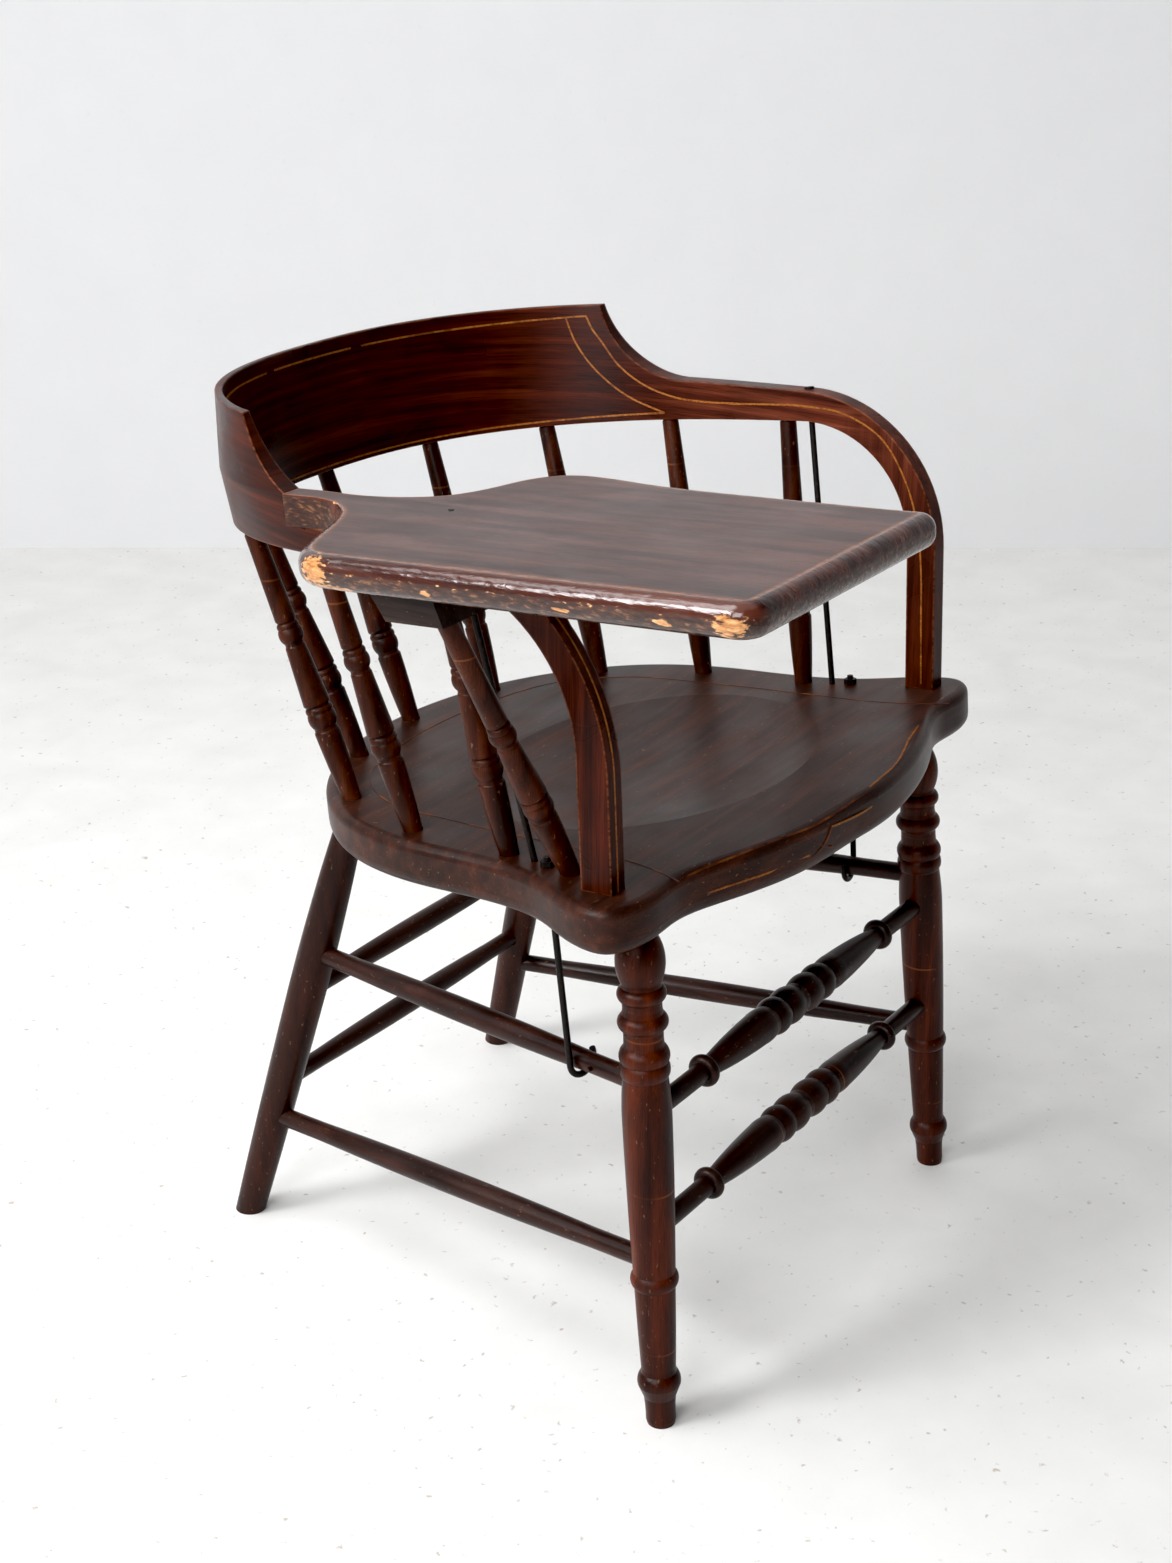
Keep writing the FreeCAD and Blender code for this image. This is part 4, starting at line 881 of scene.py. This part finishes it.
cross_width, top_width = 1.3, 1.4
for name, marks, steps, paint, *width in (
    ("arris_left", [(158, -1.5), (124, -5), (95, -3), (63, 0.5), (30, 1.5), (11, 2.5)], 60, fresh_paint),
    ("arris_right", [(2, 4), (-40, 5), (-75, 6), (-122, 4), (-168, 6), (-213, 8.5)], 80, old_paint),
    ("front_right", [(-180, 26.5), (-160, 26.5), (-126, 27), (-85, 27)], 50, fresh_paint),
    ("front_left", [(-57, 13.5), (-40, 15.2), (-21, 17), (15, 18)], 40, fresh_paint),
    ("cross_down", [(-90, 10), (-84, 14.5), (-72, 23), (-63, 28.5), (-56, 30)], 30, old_paint, cross_width),
    ("cross_up", [(-84, 30), (-73, 27), (-66, 23.5), (-62, 20.5), (-57, 13.5)], 30, old_paint, cross_width),
):
    line = resampled(marks, steps)
    path, normal = seat_front(line[:, 0], line[:, 1])
    stripe("stripe_seat_" + name, path, normal, paint, "seat_wood", *width)
    print("seat stripe", name, "over", np.ptp(line[:, 0]).round(1), "mm")

inner_line = np.array([
    (-216, -228), (-210, -215), (-196, -163), (-193, -115), (-187, -11),
    (-171, 82), (-132, 130), (-70, 152), (0, 159),
], float)
inner_line = np.vstack([inner_line, inner_line[-2::-1] * (-1, 1)])
inner_path = tilted(resampled(inner_line, 220) * (1, stretch), 0.0, seat_height)
inner_normal = np.tile(unit(np.array([0, board_fall, 1.0])), (len(inner_path), 1))
stripe("stripe_seat_top", inner_path, inner_normal, old_paint, "seat_wood", top_width)

# %% [markdown]
# The camera was found by laying the measured feet, seat, stretchers and rail over the photograph. It is 1.2 m
# up, before the chair and to its right, and looks down without any tilt to the side. The focal length and the
# optical centre are in picture pixels, which Blender takes as shares of the longer side.

# %% Camera
eye_mm = (-1522.9, -1047.1, 1199.0)
view_azimuth, view_elevation = math.radians(-55.52), math.radians(23.14)
picture = (1172, 1563)
focal_px, centre_px = 2364.44, (589.29, 785.76)
back = Vector((
    math.sin(view_azimuth) * math.cos(view_elevation),
    -math.cos(view_azimuth) * math.cos(view_elevation),
    math.sin(view_elevation),
))
right = Vector((0, 0, 1)).cross(back).normalized()
upward = back.cross(right)
lens = bpy.data.cameras.new("camera")
sensor_mm = 36.0
lens.sensor_width = sensor_mm
lens.lens = sensor_mm * focal_px / picture[1]
lens.shift_x = (picture[0] / 2 - centre_px[0]) / picture[1]
lens.shift_y = (centre_px[1] - picture[1] / 2) / picture[1]
camera = bpy.data.objects.new("camera", lens)
bpy.context.scene.collection.objects.link(camera)
eye = Vector(placed(eye_mm))
camera.matrix_world = Matrix.Translation(eye) @ Matrix((right, upward, back)).transposed().to_4x4()
bpy.context.scene.camera = camera
print("lens", round(lens.lens, 2), "mm")

# %% [markdown]
# The stage is a room with a pale painted floor, a little speckled, and plain pale walls. Only the wall behind
# the chair is near; the others throw soft light back. Each sheet is one quad.

# %% Floor and wall


def studio_paint(name, light, shade, speck, rough):
    """Rolled emulsion paint: even and matt, faintly cloudy, with small specks of grit."""
    finish, tree = new_finish(name)
    cloud = grain(tree, 90.0, 90.0, "", 6.0)
    grit = grain(tree, 9.0, 9.0, "", 6.0)
    colour = shades(tree, cloud, (0.3, shade), (0.7, light))
    marks = shades(tree, grit, (0.66, 0.0), (0.73, 0.6))
    colour = blend(tree, marks, colour, speck)
    shader = add(tree, "BsdfPrincipled", {"Base Color": colour, "Roughness": rough, "IOR": 1.45})
    # Seen from outside the room the paint is clear, so the wall hides nothing in a view from behind it
    outside = add(tree, "NewGeometry").outputs["Backfacing"]
    clear = add(tree, "BsdfTransparent")
    painted = add(tree, "MixShader", {0: outside, 1: shader, 2: clear})
    add(tree, "OutputMaterial", {0: painted})
    return finish


def sheet_of(name, corners, finish):
    """One flat face through the corners, as part of the stage."""
    mesh = bpy.data.meshes.new(name)
    mesh.from_pydata([tuple(c) for c in corners], [], [list(range(len(corners)))])
    mesh.materials.append(finish)
    piece = bpy.data.objects.new(name, mesh)
    bpy.context.scene.collection.objects.link(piece)
    return piece


away = Vector((-back.x, -back.y, 0)).normalized()
foot_of_eye = Vector((eye.x, eye.y, 0))
wall_distance = 3.826
wall_middle = foot_of_eye + away * wall_distance
wide, deep, tall = right * 8.0, away * 11.0, Vector((0, 0, 5.0))
floor_paint = studio_paint("floor_paint", "#f2f1ef", "#eae9e7", "#a08b74", 0.55)
wall_paint = studio_paint("wall_paint", "#e4e4e5", "#e2e2e3", "#dedede", 0.8)
far_left, far_right = wall_middle - wide, wall_middle + wide
near_left, near_right = far_left - deep, far_right - deep
sheet_of("floor", [near_left, near_right, far_right, far_left], floor_paint)
room = [far_left, far_right, near_right, near_left]
for k, name in enumerate(("wall", "right_wall", "near_wall", "left_wall")):
    start, end = room[k], room[(k + 1) % 4]
    sheet_of(name, [start, end, end + tall, start + tall], wall_paint)
print("floor and walls:", 1 + len(room))

# %% [markdown]
# Daylight comes from two large windows at the picture's left, one beside the chair and one nearer to the
# camera. A small high one is aimed at the tablet, and a wide dim ceiling fills the shadows. A narrow spread
# keeps a window's light off the walls, and makes its middle brighter for the same power.

# %% Light


def window(name, place, target, size, power, colour, spread=180):
    """Rectangle of light turned to its target, in metres, watts and degrees."""
    light = bpy.data.lights.new(name, "AREA")
    light.shape = "RECTANGLE"
    light.size, light.size_y = size
    light.energy = power
    light.color = colour
    light.spread = math.radians(spread)
    lamp = bpy.data.objects.new(name, light)
    bpy.context.scene.collection.objects.link(lamp)
    lamp.location = place
    lamp.rotation_euler = (Vector(target) - Vector(place)).to_track_quat("-Z", "Y").to_euler()
    return lamp


chair_middle = Vector((0, 0, 0.45))
rear_way, front_way = Vector((-0.86, 0.51, 0.0)), Vector((-0.99, -0.12, 0.0))
daylight, lamplight = (0.98, 0.99, 1.0), (1.0, 0.99, 0.98)
window("rear_window", rear_way * 5.0 + Vector((0, 0, 3.7)), chair_middle, (1.9, 2.1), 50, daylight, 75)
window("front_window", front_way * 5.2 + Vector((0, 0, 3.2)), (0.5, 0.4, 0.2), (3.2, 2.8), 222, daylight)
window("roof_window", Vector((-1.28, 1.62, 3.57)), (-0.3, 0, 0.72), (1.8, 1.8), 5.5, daylight, 50)
window("ceiling_light", Vector((-0.4, 0.3, 3.4)), (-0.2, 0.2, 0), (3.6, 3.6), 28, lamplight)
sky = bpy.data.worlds.new("sky")
sky.use_nodes = True
background = sky.node_tree.nodes["Background"]
background.inputs["Color"].default_value = (0.95, 0.97, 1.0, 1)
background.inputs["Strength"].default_value = 0.06
bpy.context.scene.world = sky
look = bpy.context.scene.view_settings
look.view_transform = "Standard"
# A camera's tone curve starts a little above zero, so the deepest tones of the dark wood close up
look.use_curve_mapping = True
look.curve_mapping.black_level = (0.006, 0.006, 0.006)
look.curve_mapping.update()
print("lights:", len(bpy.data.lights))
